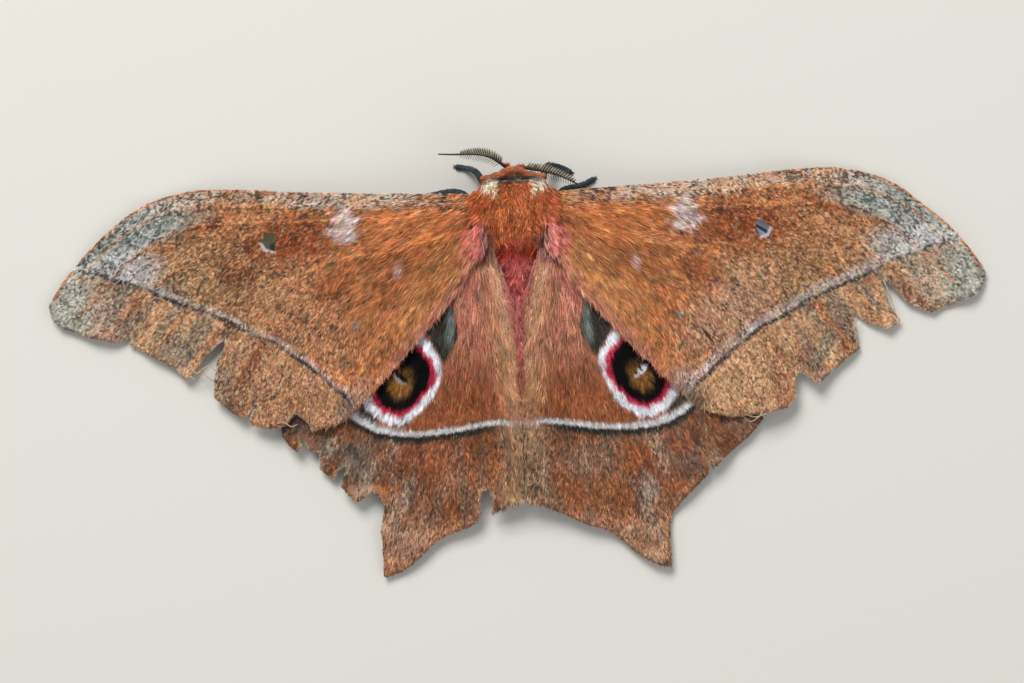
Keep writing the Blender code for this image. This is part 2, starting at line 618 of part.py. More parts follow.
def build_head(mats):
    centre = Vector((0, HEAD_Y, HEAD_Z))

    def skull(d):
        # Flatter brow, fuller cheeks
        return 1.0 - 0.08 * smooth(d.z, 0.3, 0.9) * smooth(d.y, 0.0, 0.8)

    core = ball("head", centre, HEAD_HALF, 10, 18, skull)
    core.data.materials.append(mats["head"])
    neck_start = NECK_WALL + GAP
    neck = tube("neck", [Vector((0, neck_start + t, HEAD_Z)) for t in (0.0, 0.6, 1.3)], [NECK_RADIUS] * 3, 14)
    pieces = [neck]
    for side in (-1, 1):
        line = FEELER_LINE["left" if side < 0 else "right"]
        tip = Vector(line[0])
        back = (tip - Vector(line[1])).normalized()
        root = Vector((side * SOCKET_X * 0.8, HEAD_Y + 1.0, HEAD_Z + 1.2))
        end = tip + back * (GAP + SOCKET_RADIUS)
        points = [root, (root + end) / 2, end]
        pieces.append(tube("socket", points, [0.5, 0.42, SOCKET_RADIUS], 10))
        low = Vector((side * 0.55, HEAD_Y + 1.25, HEAD_Z - 0.9))
        tips = [low, low + Vector((side * 0.05, 0.55, 0.0)), low + Vector((side * 0.08, 0.85, PALP_LENGTH * 0.4))]
        pieces.append(tube("palp", tips, [0.34, 0.36, 0.16], 8))
    rnd = random.Random(11)
    for row, (lift, count) in enumerate(((1.9, 5), (1.1, 6), (0.2, 5))):
        for k in range(count):
            x = (k - (count - 1) / 2) * 0.5
            flat = max(0.05, 1.0 - (x / HEAD_HALF[0]) ** 2 - (lift / HEAD_HALF[2]) ** 2)
            at = centre + Vector((x, HEAD_HALF[1] * flat ** 0.5, lift))
            away = (at - centre).normalized()
            heading = Vector((0.15 * x, 0.45, -0.8 if row else -0.2))
            heading -= away * heading.dot(away) * 0.75
            end = at + heading.normalized() * 1.2
            if min((end - Vector(line[0])).length for line in FEELER_LINE.values()) < 0.9:
                continue
            pieces.append(lock("tuft", at - away * 0.15, heading, away, rnd.uniform(1.0, 1.3), 0.5, 0.4, 0.15))
    combine(core, pieces, "UNION")
    cutters = []
    for side, name in ((-1, "eye_left"), (1, "eye_right")):
        at = (side * EYE_X, HEAD_Y, HEAD_Z + 0.1)
        cutters.append(ball("cut", at, (EYE_RADIUS + GAP + 0.03,) * 3, 9, 14))
        eye = ball(name, at, (EYE_RADIUS,) * 3, 9, 14)
        eye.data.materials.append(mats["eye"])
    combine(core, cutters, "DIFFERENCE")


def build_collar(mat):
    # A rim that peaks in the middle, on a low base that backs on the thorax
    back = THORAX_FRONT + GAP
    sections = 16
    verts = []
    for k in range(sections + 1):
        u = -1 + 2 * k / sections
        x = u * COLLAR_HALF_SPAN
        rim = back + 0.35 + COLLAR_PEAK * exp(-(x / 1.6) ** 2) - 0.12 * abs(u) ** 3
        low = HOOD_UNDER + 0.1 * u * u
        high = HOOD_UNDER + COLLAR_TALL * (1.0 - 0.25 * u ** 4)
        step = low + (high - low) * 0.42
        half = COLLAR_DEEP / 2 * (1.0 - 0.35 * u ** 4)
        for y, z in ((back, low + 0.1), (back, step), (rim - half, step + 0.05), (rim - half * 0.6, high - 0.12),
                     (rim, high), (rim + half * 0.8, high - 0.3), (rim + half, step), (rim + half * 0.5, low)):
            verts.append((x, y, z))
    sides = 8
    faces = []
    for r in range(sections):
        for s in range(sides):
            t = (s + 1) % sides
            a, b, c, d = r * sides + s, r * sides + t, (r + 1) * sides + t, (r + 1) * sides + s
            faces += [(a, b, c), (a, c, d)]
    faces.append(tuple(range(sides)))
    faces.append(tuple(range(len(verts) - sides, len(verts))))
    return mesh_object("collar", verts, faces, mat)


def build_feeler(side, mat):
    line = curve_points(FEELER_LINE[side], 0.7)
    count = len(line)
    radii = [FEELER_RADIUS * (1.0 - 0.35 * k / (count - 1)) for k in range(count)]
    core = tube("antenna_" + side, line, radii, 6, mat)
    sign = -1 if side == "left" else 1
    rami = []
    for k in range(RAMUS_PAIRS):
        t = 0.13 + 0.68 * k / (RAMUS_PAIRS - 1)
        f = t * (count - 1)
        i = int(f)
        at = line[i].lerp(line[i + 1], f - i)
        ahead = (line[i + 1] - line[i]).normalized()
        out = Vector((0, 0, 1)).cross(ahead).normalized() * (-sign)
        long = RAMUS_LENGTH * (0.55 + 0.45 * sin(pi * min(1.0, 0.15 + t)))
        for way in (1, -1):
            heading = (out * way + ahead * 0.55 + Vector((0, 0, -0.12))).normalized()
            rami.append(spike("ramus", at, heading, long, 0.15))
    return combine(core, rami, "UNION")


def build_leg(name, mat):
    line = curve_points(LEG_LINE[name], 1.3)
    count = len(line)
    radii = []
    for k in range(count):
        t = k / (count - 1)
        thick = FEMUR_RADIUS if t < 0.3 else TIBIA_RADIUS
        radii.append(FOOT_RADIUS if t > 0.72 else thick)
    radii[0] = FEMUR_RADIUS * 0.9
    return tube(name, line, radii, 8, mat, 0.0)


def main():
    for ob in list(bpy.data.objects):
        bpy.data.objects.remove(ob)
    mats = {
        "forewing": material("forewing_scales", "#b5713f", 0.75),
        "hindwing": material("hindwing_scales", "#a85f42", 0.75),
        "thorax": material("thorax_fur", "#b4602c", 0.85),
        "abdomen": material("abdomen_fur", "#9a3038", 0.85),
        "collar": material("collar_fur", "#c06a3a", 0.85),
        "head": material("head_fur", "#8f5636", 0.85),
        "eye": material("eye_lens", "#15100d", 0.2),
        "feeler": material("feeler_horn", "#2b231c", 0.55),
        "leg": material("leg_scales", "#3b3f42", 0.6),
    }
    build_wings(mats)
    build_thorax(mats["thorax"])
    build_abdomen(mats["abdomen"])
    build_head(mats)
    build_collar(mats["collar"])
    for side in ("left", "right"):
        build_feeler(side, mats["feeler"])
    for name in LEG_LINE:
        build_leg(name, mats["leg"])


main()
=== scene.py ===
# Imbrasia epimethea moth with its wings spread flat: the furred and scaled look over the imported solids
# Sizes are in millimetres and are scaled once, where a mesh is made
import json
from math import cos, pi, radians, sin

import bmesh
import bpy
import numpy as np
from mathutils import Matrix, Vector
from mathutils.geometry import delaunay_2d_cdt

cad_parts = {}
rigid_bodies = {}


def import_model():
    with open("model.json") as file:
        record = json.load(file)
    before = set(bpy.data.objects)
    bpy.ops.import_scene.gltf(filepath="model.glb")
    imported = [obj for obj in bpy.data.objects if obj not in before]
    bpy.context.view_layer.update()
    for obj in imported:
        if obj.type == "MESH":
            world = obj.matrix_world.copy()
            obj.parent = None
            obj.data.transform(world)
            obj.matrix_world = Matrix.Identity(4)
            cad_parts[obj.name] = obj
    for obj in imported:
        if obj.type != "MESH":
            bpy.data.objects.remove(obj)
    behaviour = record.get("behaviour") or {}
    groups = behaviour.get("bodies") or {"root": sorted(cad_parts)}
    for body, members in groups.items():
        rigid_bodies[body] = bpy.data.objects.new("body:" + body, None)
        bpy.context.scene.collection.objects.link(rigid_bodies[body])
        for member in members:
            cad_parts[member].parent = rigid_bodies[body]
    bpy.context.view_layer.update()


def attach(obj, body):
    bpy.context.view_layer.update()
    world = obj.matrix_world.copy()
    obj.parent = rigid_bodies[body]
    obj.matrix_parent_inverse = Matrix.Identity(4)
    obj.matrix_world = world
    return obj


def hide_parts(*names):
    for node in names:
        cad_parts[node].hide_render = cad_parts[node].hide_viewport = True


bl_info = {
    "name": "Spread moth",
    "version": (1, 0, 0),
    "blender": (4, 5, 0),
    "location": "3D View > Sidebar > Moth",
    "description": "Builds a life-size moth with scaled wings and a furred body",
    "category": "Add Mesh",
}

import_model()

MM = 0.001
UP = np.array((0.0, 0.0, 1.0))
# Height of a row of even triangles with sides of 1
ROW = 0.866
# What is made once and used again: lines, wing shapes, materials and tufts
MADE = {}

# Height of the hindwing's upper face over the body axis, by distance along the body
WING_CREST = ((-29.5, 1.6), (-24.0, 2.3), (-19.0, 3.7), (-15.0, 5.1), (-10.0, 7.0), (-5.0, 8.3), (5.0, 9.3),
              (14.0, 9.6), (20.0, 9.2), (23.0, 7.7), (26.5, 6.4))
WING_LOW = 1.35
WING_LAP = 1.1
WING_REACH = 17.0

# Margins of the right wings, from shoulder round the tip to the inner root; the left ones mirror them
FOREWING_FRONT = ((3.9, 22.8), (6.2, 23.0), (10.0, 23.3), (20.0, 23.8), (30.0, 24.4), (40.0, 25.2), (46.0, 25.0),
                  (52.0, 23.1), (58.0, 18.6), (62.0, 14.5), (64.5, 11.0))
FOREWING_APEX = ((65.0, 9.9), (64.7, 8.5), (63.6, 7.0))
FOREWING_OUTER = ((60.0, 5.6), (56.0, 4.5), (50.0, 2.0), (44.0, -2.3), (39.5, -6.1), (36.5, -7.8), (33.0, -8.4),
                  (28.9, -8.8))
FOREWING_INNER = ((26.5, -8.0), (24.1, -6.9), (20.0, -2.9), (14.0, 3.5), (10.0, 7.9), (7.5, 10.8), (6.0, 13.4),
                  (3.9, 15.6))
HINDWING_FRONT = ((3.2, 16.6), (5.8, 16.2), (12.0, 13.6), (20.0, 8.6), (27.0, 2.6), (31.8, -3.4), (33.4, -7.6))
HINDWING_OUTER = ((33.3, -9.2), (31.4, -11.4), (28.0, -14.2), (24.6, -17.4), (21.4, -20.6), (20.1, -22.6),
                  (19.9, -26.5), (20.0, -29.2))
HINDWING_TAIL = ((19.6, -29.25), (17.3, -28.5), (15.0, -26.9), (12.0, -24.2), (8.0, -22.7), (4.0, -20.6),
                 (0.5, -19.3))
HINDWING_INNER = ((0.16, -19.0), (0.16, -6.0), (0.2, 4.0), (0.5, 6.8), (1.1, 9.0), (1.8, 11.5), (2.6, 13.6),
                  (3.0, 15.0))
TEARS = {
    ("forewing", "left"): (
        ((56.0, 4.6), (54.3, 5.0), (53.7, 5.1), (54.2, 4.3), (53.0, 3.7)),
        ((47.6, 0.3), (46.3, -1.0), (45.0, 0.2), (43.5, 2.3), (41.3, 4.2), (40.8, 4.2), (40.8, 3.4), (42.0, 1.2),
         (42.3, -1.0), (42.5, -3.6)),
        ((39.0, -6.4), (38.3, -6.5), (36.7, -4.6), (36.5, -4.7), (37.8, -7.2), (37.0, -7.7)),
        ((33.6, -8.1), (32.5, -7.4), (31.5, -6.2), (31.0, -6.3), (29.5, -7.6), (29.1, -8.7)),
    ),
    ("forewing", "right"): (
        ((57.6, 4.7), (55.9, 5.2), (54.0, 6.1), (52.0, 8.4), (50.7, 9.6), (50.4, 9.2), (51.4, 6.0), (52.9, 3.7),
         (51.3, 2.5), (48.3, 3.6), (46.6, 4.9), (46.4, 4.6), (46.8, 2.4), (47.1, 0.0)),
        ((41.3, -4.5), (40.5, -4.5), (40.1, -3.9), (38.6, -2.9), (38.3, -3.0), (37.9, -4.8), (38.0, -6.2),
         (37.2, -7.3)),
    ),
    ("hindwing", "left"): (
        ((31.2, -11.5), (30.7, -10.4), (30.3, -10.2), (29.5, -11.3), (28.2, -11.6), (28.2, -14.0)),
        ((26.8, -15.3), (26.1, -15.3), (26.0, -14.4), (24.5, -13.6), (24.5, -13.9), (25.4, -16.4)),
        ((23.5, -18.5), (22.9, -18.7), (21.7, -17.7), (20.6, -17.6), (20.0, -18.5), (19.4, -19.4), (19.9, -21.6),
         (20.1, -23.0)),
        ((6.8, -22.1), (6.2, -20.9), (6.3, -18.8), (5.8, -17.6), (5.0, -17.5), (4.4, -18.6), (4.6, -20.9)),
    ),
    ("hindwing", "right"): (
        ((26.3, -15.9), (25.8, -15.1), (25.6, -15.2), (25.7, -16.3)),
    ),
}
WINDOWS = {
    "left": ((34.7, 19.0), (33.2, 18.9), (33.1, 17.6), (33.4, 16.3), (34.7, 16.7), (35.3, 17.4), (34.8, 18.3)),
    "right": ((33.5, 18.5), (34.5, 18.1), (35.3, 16.9), (34.9, 16.1), (33.8, 15.9), (33.4, 16.9), (33.1, 17.4)),
}
WINDOW_LIP = {"left": ((35.3, 17.5), (34.7, 16.6), (33.4, 16.2)), "right": ((35.3, 17.1), (34.9, 16.1), (33.8, 15.9))}
SLIT_LINE = ((24.9, 4.2), (26.2, 2.3), (27.6, 0.7))
SLIT_WIDE = 0.42
TORN_STRIPS = {
    "left": (((45.6, 0.6), (44.8, -0.1), (43.9, 0.5), (43.0, 0.9), (42.3, 0.2)),
             ((42.0, -1.6), (42.9, -1.0), (43.7, -0.3), (44.3, 0.4)),
             ((46.6, -0.4), (45.6, -0.6), (44.8, -1.2), (44.1, -0.9)),
             ((33.9, -7.4), (32.9, -7.3), (31.9, -7.9), (31.0, -7.6)),
             ((37.6, -6.9), (37.3, -6.0), (36.9, -5.2))),
    "right": (((34.6, -7.9), (33.4, -8.6), (32.0, -8.9), (30.9, -8.5)),
              ((33.4, -8.0), (32.6, -8.9), (31.7, -9.5), (31.1, -9.3)),
              ((50.6, 9.7), (51.3, 8.0), (51.8, 6.3), (52.3, 4.9)),
              ((46.9, 4.2), (46.5, 2.9), (46.9, 1.4))),
}
FOREWING_VEINS = (
    ((6.0, 21.6), (20.0, 22.3), (34.0, 22.6), (46.0, 22.6), (54.0, 19.6), (61.0, 13.2)),
    ((6.0, 19.6), (20.0, 20.2), (33.0, 20.2), (45.0, 20.2), (52.0, 17.0), (56.5, 13.0), (61.6, 7.8)),
    ((34.6, 19.2), (37.0, 18.2), (46.0, 14.8), (52.0, 10.8), (57.0, 5.6)),
    ((35.0, 16.4), (43.0, 11.2), (48.0, 6.4), (50.6, 3.2)),
    ((33.0, 14.6), (39.0, 9.0), (43.5, 3.4), (46.0, -0.4)),
    ((6.0, 18.0), (18.0, 15.6), (27.0, 14.2), (33.0, 9.0), (37.5, 2.0), (40.6, -3.8)),
    ((22.8, 13.8), (27.0, 8.0), (32.0, -0.5), (34.6, -7.4)),
    ((6.2, 16.2), (12.0, 10.0), (19.0, 2.6), (24.0, -3.0), (27.4, -7.6)),
)
HINDWING_VEINS = (
    ((6.5, 14.6), (16.0, 9.2), (24.0, 2.6), (29.0, -4.6), (31.5, -10.2)),
    ((6.0, 13.8), (13.0, 7.6), (19.0, 0.4), (24.0, -7.4), (27.0, -14.0)),
    ((17.0, 1.8), (19.6, -5.6), (22.0, -12.6), (23.2, -18.0)),
    ((5.2, 13.2), (11.0, 4.6), (16.0, -5.0), (18.2, -16.0), (19.0, -27.4)),
    ((12.4, 0.0), (13.4, -8.0), (13.8, -16.0), (14.6, -25.2)),
    ((4.4, 12.4), (7.6, 2.0), (8.4, -8.0), (8.8, -21.8)),
    ((3.0, 11.4), (3.4, 0.0), (2.9, -10.0), (2.8, -19.4)),
)

# Wing pattern: the line across each wing, the rings of the eyespot and the dark patch above it
FOREWING_LINE = ((61.0, 14.6), (58.0, 14.1), (56.0, 13.2), (52.0, 12.0), (50.0, 11.0), (46.0, 9.3), (42.0, 7.8),
                 (38.0, 5.6), (36.0, 4.6), (33.0, 3.1), (30.0, 0.8), (28.0, -0.7), (25.8, -3.0), (24.6, -3.6),
                 (23.6, -5.0))
APEX_VEIN = ((40.0, 21.4), (44.5, 20.0), (48.0, 18.6), (52.0, 17.0), (54.0, 15.5), (56.5, 13.0), (59.0, 10.5),
             (61.5, 8.0))
HINDWING_LINE = ((27.0, -3.7), (25.0, -5.5), (23.5, -6.9), (22.0, -8.0), (20.0, -9.0), (18.0, -9.45), (16.0, -9.65),
                 (14.0, -9.7), (12.0, -9.6), (10.0, -9.4), (8.0, -9.1), (6.0, -8.75), (4.0, -8.5), (2.0, -8.35),
                 (-2.0, -8.3))
RING_BLACK = ((20.0, -3.3), (19.5, -5.0), (18.3, -6.0), (17.2, -6.4), (15.5, -5.7), (14.2, -4.4), (13.1, -3.2),
              (12.5, -1.6), (12.9, 0.6), (13.9, 1.8), (15.0, 2.9), (17.0, 2.6), (19.0, 0.0))
RING_CRIMSON = ((20.8, -3.7), (20.4, -5.2), (18.9, -6.6), (16.9, -7.1), (15.0, -6.2), (13.3, -4.5), (11.6, -1.9),
                (11.9, 0.1), (12.8, 1.6), (14.1, 3.0), (16.0, 4.2), (19.0, 2.6), (20.8, -0.8))
RING_WHITE = ((22.0, -4.5), (21.2, -6.1), (19.6, -7.6), (17.0, -8.4), (14.9, -7.4), (13.0, -5.8), (11.6, -3.4),
              (10.7, -0.8), (11.1, 1.0), (12.2, 2.7), (13.2, 4.2), (15.4, 5.6), (19.4, 4.4), (22.2, 0.0))
DARK_PATCH = ((9.3, 8.4), (8.6, 6.5), (8.4, 4.0), (9.3, 2.0), (10.6, 0.3), (11.0, 1.0), (12.1, 2.8), (13.0, 4.4),
              (13.4, 5.4), (11.5, 7.4), (10.2, 8.6))
TAIL_VEIN = ((16.4, -17.0), (17.0, -20.0), (17.4, -24.0), (18.4, -28.0))

# Trunk sections under the fur: place along Y, half width, underside, top
TRUNK = ((-12.2, 0.6, 2.5, 3.3), (-11.4, 1.3, 2.1, 4.1), (-10.0, 2.0, 1.7, 4.9), (-6.9, 2.75, 1.35, 6.1),
         (-1.9, 3.4, 1.15, 7.1), (4.1, 3.6, 1.15, 7.6), (10.1, 3.5, 1.3, 7.8), (12.6, 3.2, 1.9, 7.8),
         (13.6, 3.3, 2.1, 8.0), (15.0, 3.9, 2.0, 8.9), (17.0, 4.5, 1.9, 10.0), (19.5, 4.7, 1.8, 10.5),
         (21.5, 4.7, 2.0, 10.4), (22.6, 4.55, 3.2, 10.15), (23.4, 4.3, 5.2, 9.8), (24.0, 3.9, 6.7, 9.4),
         (24.4, 3.3, 7.4, 8.9))
TRUNK_POWER = 2.8
HEAD_CENTRE = (0.0, 24.85, 4.55)
HEAD_HALF = (2.35, 1.8, 2.2)
EYE_PLACE = (2.25, 24.85, 4.65)
EYE_RADIUS = 1.25
COLLAR_BACK = 24.75
COLLAR_LOW = 7.1
COLLAR_SPAN = 4.2
FEELER_LINE = {
    "left": ((-0.7, 26.3, 5.9), (-1.25, 26.85, 6.3), (-2.7, 27.9, 6.6), (-4.0, 28.4, 6.5), (-5.6, 28.6, 6.2),
             (-8.0, 28.65, 5.7), (-10.2, 28.8, 5.3)),
    "right": ((0.7, 26.3, 5.9), (1.45, 26.5, 6.2), (2.6, 26.25, 6.2), (4.1, 25.95, 6.0), (5.6, 25.5, 5.8),
              (7.1, 24.9, 5.5), (8.7, 24.05, 5.2)),
}
HIND_LEG = ((2.6, 17.6, 2.1), (3.1, 17.1, 1.35), (6.8, 14.0, 3.6), (9.6, 6.6, 2.0), (11.2, 1.2, 0.5),
            (12.2, -2.2, 0.25))
LEG_LINE = {
    "leg_front_left": ((-2.3, 20.8, 1.9), (-2.6, 21.2, 1.2), (-3.4, 22.9, 1.5), (-4.2, 24.7, 2.9), (-5.2, 26.4, 2.2),
                       (-6.6, 27.05, 0.6), (-8.0, 27.3, 0.25)),
    "leg_front_right": ((2.3, 20.8, 1.9), (2.6, 21.2, 1.2), (3.3, 22.9, 1.5), (4.0, 24.9, 3.0), (4.8, 26.8, 2.3),
                        (6.4, 26.75, 0.6), (8.1, 25.9, 0.25)),
    "leg_mid_left": ((-3.0, 19.4, 2.1), (-3.4, 19.9, 1.3), (-5.7, 21.9, 2.4), (-7.2, 23.4, 2.9), (-9.2, 23.75, 1.7),
                     (-11.2, 23.5, 0.5), (-13.0, 23.1, 0.25)),
    "leg_mid_right": ((3.0, 19.4, 2.1), (3.4, 19.9, 1.3), (5.7, 21.9, 2.4), (6.8, 23.3, 2.9), (8.4, 23.8, 1.7),
                      (9.8, 24.25, 0.5), (11.3, 25.0, 0.25)),
    "leg_hind_left": tuple((-x, y, z) for x, y, z in HIND_LEG),
    "leg_hind_right": HIND_LEG,
}
MARGINS = {"forewing": (FOREWING_FRONT, FOREWING_APEX, FOREWING_OUTER, FOREWING_INNER),
           "hindwing": (HINDWING_FRONT, HINDWING_OUTER, HINDWING_TAIL, HINDWING_INNER)}
VEINS = {"forewing": FOREWING_VEINS, "hindwing": HINDWING_VEINS}

# Spots of the pattern, and spots of painted highlight and painted shade: centre, half sizes, turn in degrees, and where
# the fade starts and ends in half sizes
SPOTS = {
    "gold": (11.5, 10.0, 10.0, 4.6, -50, 0.3, 1.2), "sheen": (14.6, 18.8, 7.5, 3.6, 0, 0.4, 1.2),
    "rust_window": (31.5, 17.6, 9.6, 4.6, -6, 0.2, 1.15), "rust_middle": (25.5, 11.0, 4.8, 2.6, -35, 0.2, 1.1),
    "rust_low": (32.0, 5.5, 2.5, 5.5, 40, 0.2, 1.1), "rust_front": (42.5, 20.5, 4.5, 1.6, -15, 0.2, 1.1),
    "rust_left": (38.6, 13.6, 4.6, 2.6, 10, 0.3, 1.1), "rust_round": (35.8, 16.8, 2.8, 2.2, 0, 0.4, 1.1),
    "veil": (28.5, 5.5, 10.0, 5.5, 42, 0.3, 1.15), "ash_margin": (42.5, 0.6, 4.2, 1.5, 60, 0.3, 1.1),
    "ash_left": (48.3, 3.6, 3.4, 3.0, 0, 0.4, 1.15), "lilac": (54.2, 14.8, 6.2, 3.2, 0, 0.3, 1.15),
    "corner": (22.8, -4.0, 3.4, 2.2, -52, 0.3, 1.1), "patch": (23.6, 19.3, 2.6, 2.7, 20, 0.45, 1.12),
    "patch_gap": (25.0, 22.0, 0.9, 0.7, 0, 0.5, 1.1), "small_patch": (16.3, 13.2, 0.8, 1.6, 15, 0.3, 1.1),
    "mote": (22.3, 5.6, 0.7, 0.5, 30, 0.5, 1.1), "dark_mote": (25.7, 5.6, 0.7, 0.5, 30, 0.5, 1.1),
    "window_dark": (33.6, 16.9, 0.6, 0.9, 0, 0.3, 1.2), "nick": (30.5, 9.35, 0.5, 0.26, -40, 0.6, 1.1),
    "rust_cleft": (54.2, 6.6, 4.0, 1.7, -38, 0.4, 1.1), "pink_root": (6.3, 16.2, 1.5, 2.6, -5, 0.4, 1.15),
    "ash_corner": (24.0, -6.0, 3.0, 2.2, -50, 0.3, 1.1), "ash_hind": (22.5, -13.0, 3.6, 5.5, 10, 0.2, 1.1),
    "brick": (14, -13, 8, 4.6, 0, 0.35, 1.15), "brick_inner": (17, -15.5, 3.4, 3.2, 0, 0.35, 1.15),
    "brick_outer": (22, -12, 2.6, 2.4, 0, 0.35, 1.15), "frost_hind": (8.5, -14, 4.6, 3.2, 0, 0.3, 1.15),
    "dusk": (21.6, -6.6, 2.6, 0.9, 42, 0.5, 1.1), "slot_lip": (16.6, -1.94, 1.35, 0.47, 42, 0.7, 1.05),
    "slot": (16.42, -1.7, 1.2, 0.42, 42, 0.8, 1.1), "hollow_shade": (3.7, 16.2, 0.85, 2.2, 12, 0.45, 1.1),
    "cream_shoulder": (3.15, 24.15, 1.3, 0.95, -8, 0.7, 1.1), "cream_back": (2.55, 23.2, 0.5, 1.1, 0, 0.4, 1.1),
    "cream_tuft": (3.5, 24.4, 1.1, 0.9, 0, 0.6, 1.1),
}
RUST_SPOTS = (("rust_window", 1.0), ("rust_middle", 0.75), ("rust_low", 0.6), ("rust_front", 0.7))
LEFT_RUST_SPOTS = (("rust_left", 0.7), ("rust_round", 1.0))
BRICK_SPOTS = {"left": ("brick",), "right": ("brick_inner", "brick_outer")}
# Dark spots near the wing tip: centre and half width
TIP_SPOTS = ((44.3, 22.6, 0.8), (42.0, 22.7, 0.5), (47.5, 22.7, 0.9), (49.5, 19.0, 0.9), (54.0, 19.5, 0.8))
WINDOW_SLASH = ((33.1, 17.7), (34.7, 16.6))
PUPIL = (16.5, -2.55, 2.75, 1.85, 116)

# Wing skins: thickness at the margin and what is added inside it, spacing and fray of the margin's points, and the
# finer points round the window
SKIN_THIN, SKIN_MORE, SKIN_TAPER = 0.13, 0.17, 1.4
MARGIN_STEP, MARGIN_FRAY = 0.34, 0.035
MARGIN_GAP, HOLE_GAP, WINDOW_GAP = 0.24, 0.2, 0.4
WINDOW_COLUMNS = (32.5, 36.0, 0.12)
WINDOW_ROWS = (15.3, 19.6, 0.104)
UNDER_LIE = 20.0
# The skins under the scales and fur are darkened by these factors: painted shade of the depths of the coat
SKIN_SHADE, BODY_SHADE = 0.92, 0.55

# Where the abdomen's rings, the face and the collar's rim lie on the body
ABDOMEN_FRONT, ABDOMEN_LONG, ABDOMEN_RINGS = 13.1, 25.5, 8
FACE_BACK, FACE_TOP = 24.3, 7.1
RIM_BACK, RIM_LOW = 24.8, 7.0

# One seed for each kind of coat, and the size of one tuft's place on the unwrap
SEEDS = {"skin": 40, "coat": 60, "fringe": 80, "hairs": 77, "locks": 78, "tufts": 81, "feelers": 90, "legs": 100}
TUFT_PATCH = 0.003

# Stage, in metres but for the floor
FLOOR_HALF = 600
LIGHTS = (("key", (-0.22, 0.55, 0.62), 0.4), ("fill", (0.5, -0.45, 0.6), 0.6))
SKY_COLOUR = (0.95, 0.97, 1.0, 1)
CAMERA_PLACE = (-0.00102, 0.00273, 0.3958)
CAMERA_TURN = -2.1
CAMERA_LENS, CAMERA_SENSOR = 100, 36
CAMERA_CLIP = (0.01, 10)


def hex_linear(code):
    parts = [int(code[i:i + 2], 16) / 255.0 for i in (1, 3, 5)]
    return tuple(p / 12.92 if p <= 0.04045 else ((p + 0.055) / 1.055) ** 2.4 for p in parts)


def colour(name, text, code):
    return bpy.props.FloatVectorProperty(name=name, description=text, subtype="COLOR", size=3, min=0.0, max=1.0,
                                         default=hex_linear(code))


def measure(name, text, default, low, high):
    return bpy.props.FloatProperty(name=name, description=text, default=default, min=low, max=high)


def amount(name, text, default, low, high):
    return bpy.props.IntProperty(name=name, description=text, default=default, min=low, max=high)


class MothWingColours(bpy.types.PropertyGroup):
    ground: colour("Ground", "Orange-brown ground of the forewing", "#c07d4f")
    gold: colour("Gold", "Golden hair near the forewing's base", "#dc9c66")
    rust: colour("Rust", "Rust field round the forewing's window", "#8c4625")
    tan: colour("Tan", "Tan field before the forewing's line", "#9d7753")
    band: colour("Outer band", "Tan band beyond the forewing's line", "#c39670")
    strip: colour("Strip", "Front strip of the forewing", "#bb8b66")
    apex: colour("Apex", "Grey scales of the wing tip", "#96a5a1")
    line_dark: colour("Dark line", "Dark line across the forewing", "#3f3c3b")
    line_pale: colour("Pale line", "Pale band along the dark line", "#c8c5c6")
    patch: colour("Patch", "Pink-white patch of the forewing", "#e9d4d1")
    vein: colour("Vein", "Bare orange veins of the wing tip", "#c47c44")
    rim: colour("Rim", "Dark edge of the wings", "#5e4435")
    torn: colour("Torn edge", "Pale frayed edges of the tears", "#b99e80")
    dark_scale: colour("Dark scales", "Scattered dark scales", "#3d3b3a")
    pale_scale: colour("Pale scales", "Scattered cream scales", "#e0cba6")
    pink_hair: colour("Pink hair", "Pink hair at the wing roots", "#fb958a")
    fringe: colour("Fringe", "Pink fringe of the forewing's inner margin", "#d99484")
    hind_base: colour("Hind base", "Pink-tan hair of the hindwing", "#c5866c")
    hind_hair: colour("Hind hair", "Peach tips of the hair along the hindwing's inner margin", "#f0cdae")
    hind_inner: colour("Hind inner", "Tan hair along the hindwing's inner margin", "#deac82")
    hind_field: colour("Hind field", "Rust field before the hindwing's line", "#9f5f3b")
    hind_far: colour("Hind far", "Brick field beyond the hindwing's line", "#9d6039")
    hind_edge: colour("Hind edge", "Tan margin of the hindwing", "#cb946e")
    ash: colour("Ash", "Grey scales of the hindwing's outer part", "#73685d")
    frost: colour("Frost", "Pale grey speckle of the hindwing's outer part and tail", "#aba294")
    band_white: colour("White band", "White band of the hindwing", "#d4d6d7")
    band_black: colour("Black band", "Black edge under the white band", "#292f28")
    eye_ochre: colour("Ochre", "Centre of the eyespot", "#9c6c2d")
    eye_black: colour("Black", "Black ring of the eyespot", "#060405")
    eye_crimson: colour("Crimson", "Crimson ring of the eyespot", "#c02c48")
    eye_white: colour("White", "White ring of the eyespot", "#eef1f8")
    shade_patch: colour("Shade patch", "Dark grey-green patch above the eyespot", "#373a35")
    under: colour("Underside", "Pink-brown underside of the wings", "#a98270")
    # Painted shade: the window is bare clear membrane, and this colour is the shaded ground seen through the left one
    window: colour("Window", "Bare membrane of the left forewing's window", "#4f4a38")
    # Painted reflection: bluish light on the bare clear membrane of the right window
    pane: colour("Pane", "Bare membrane of the right forewing's window", "#6f7c90")


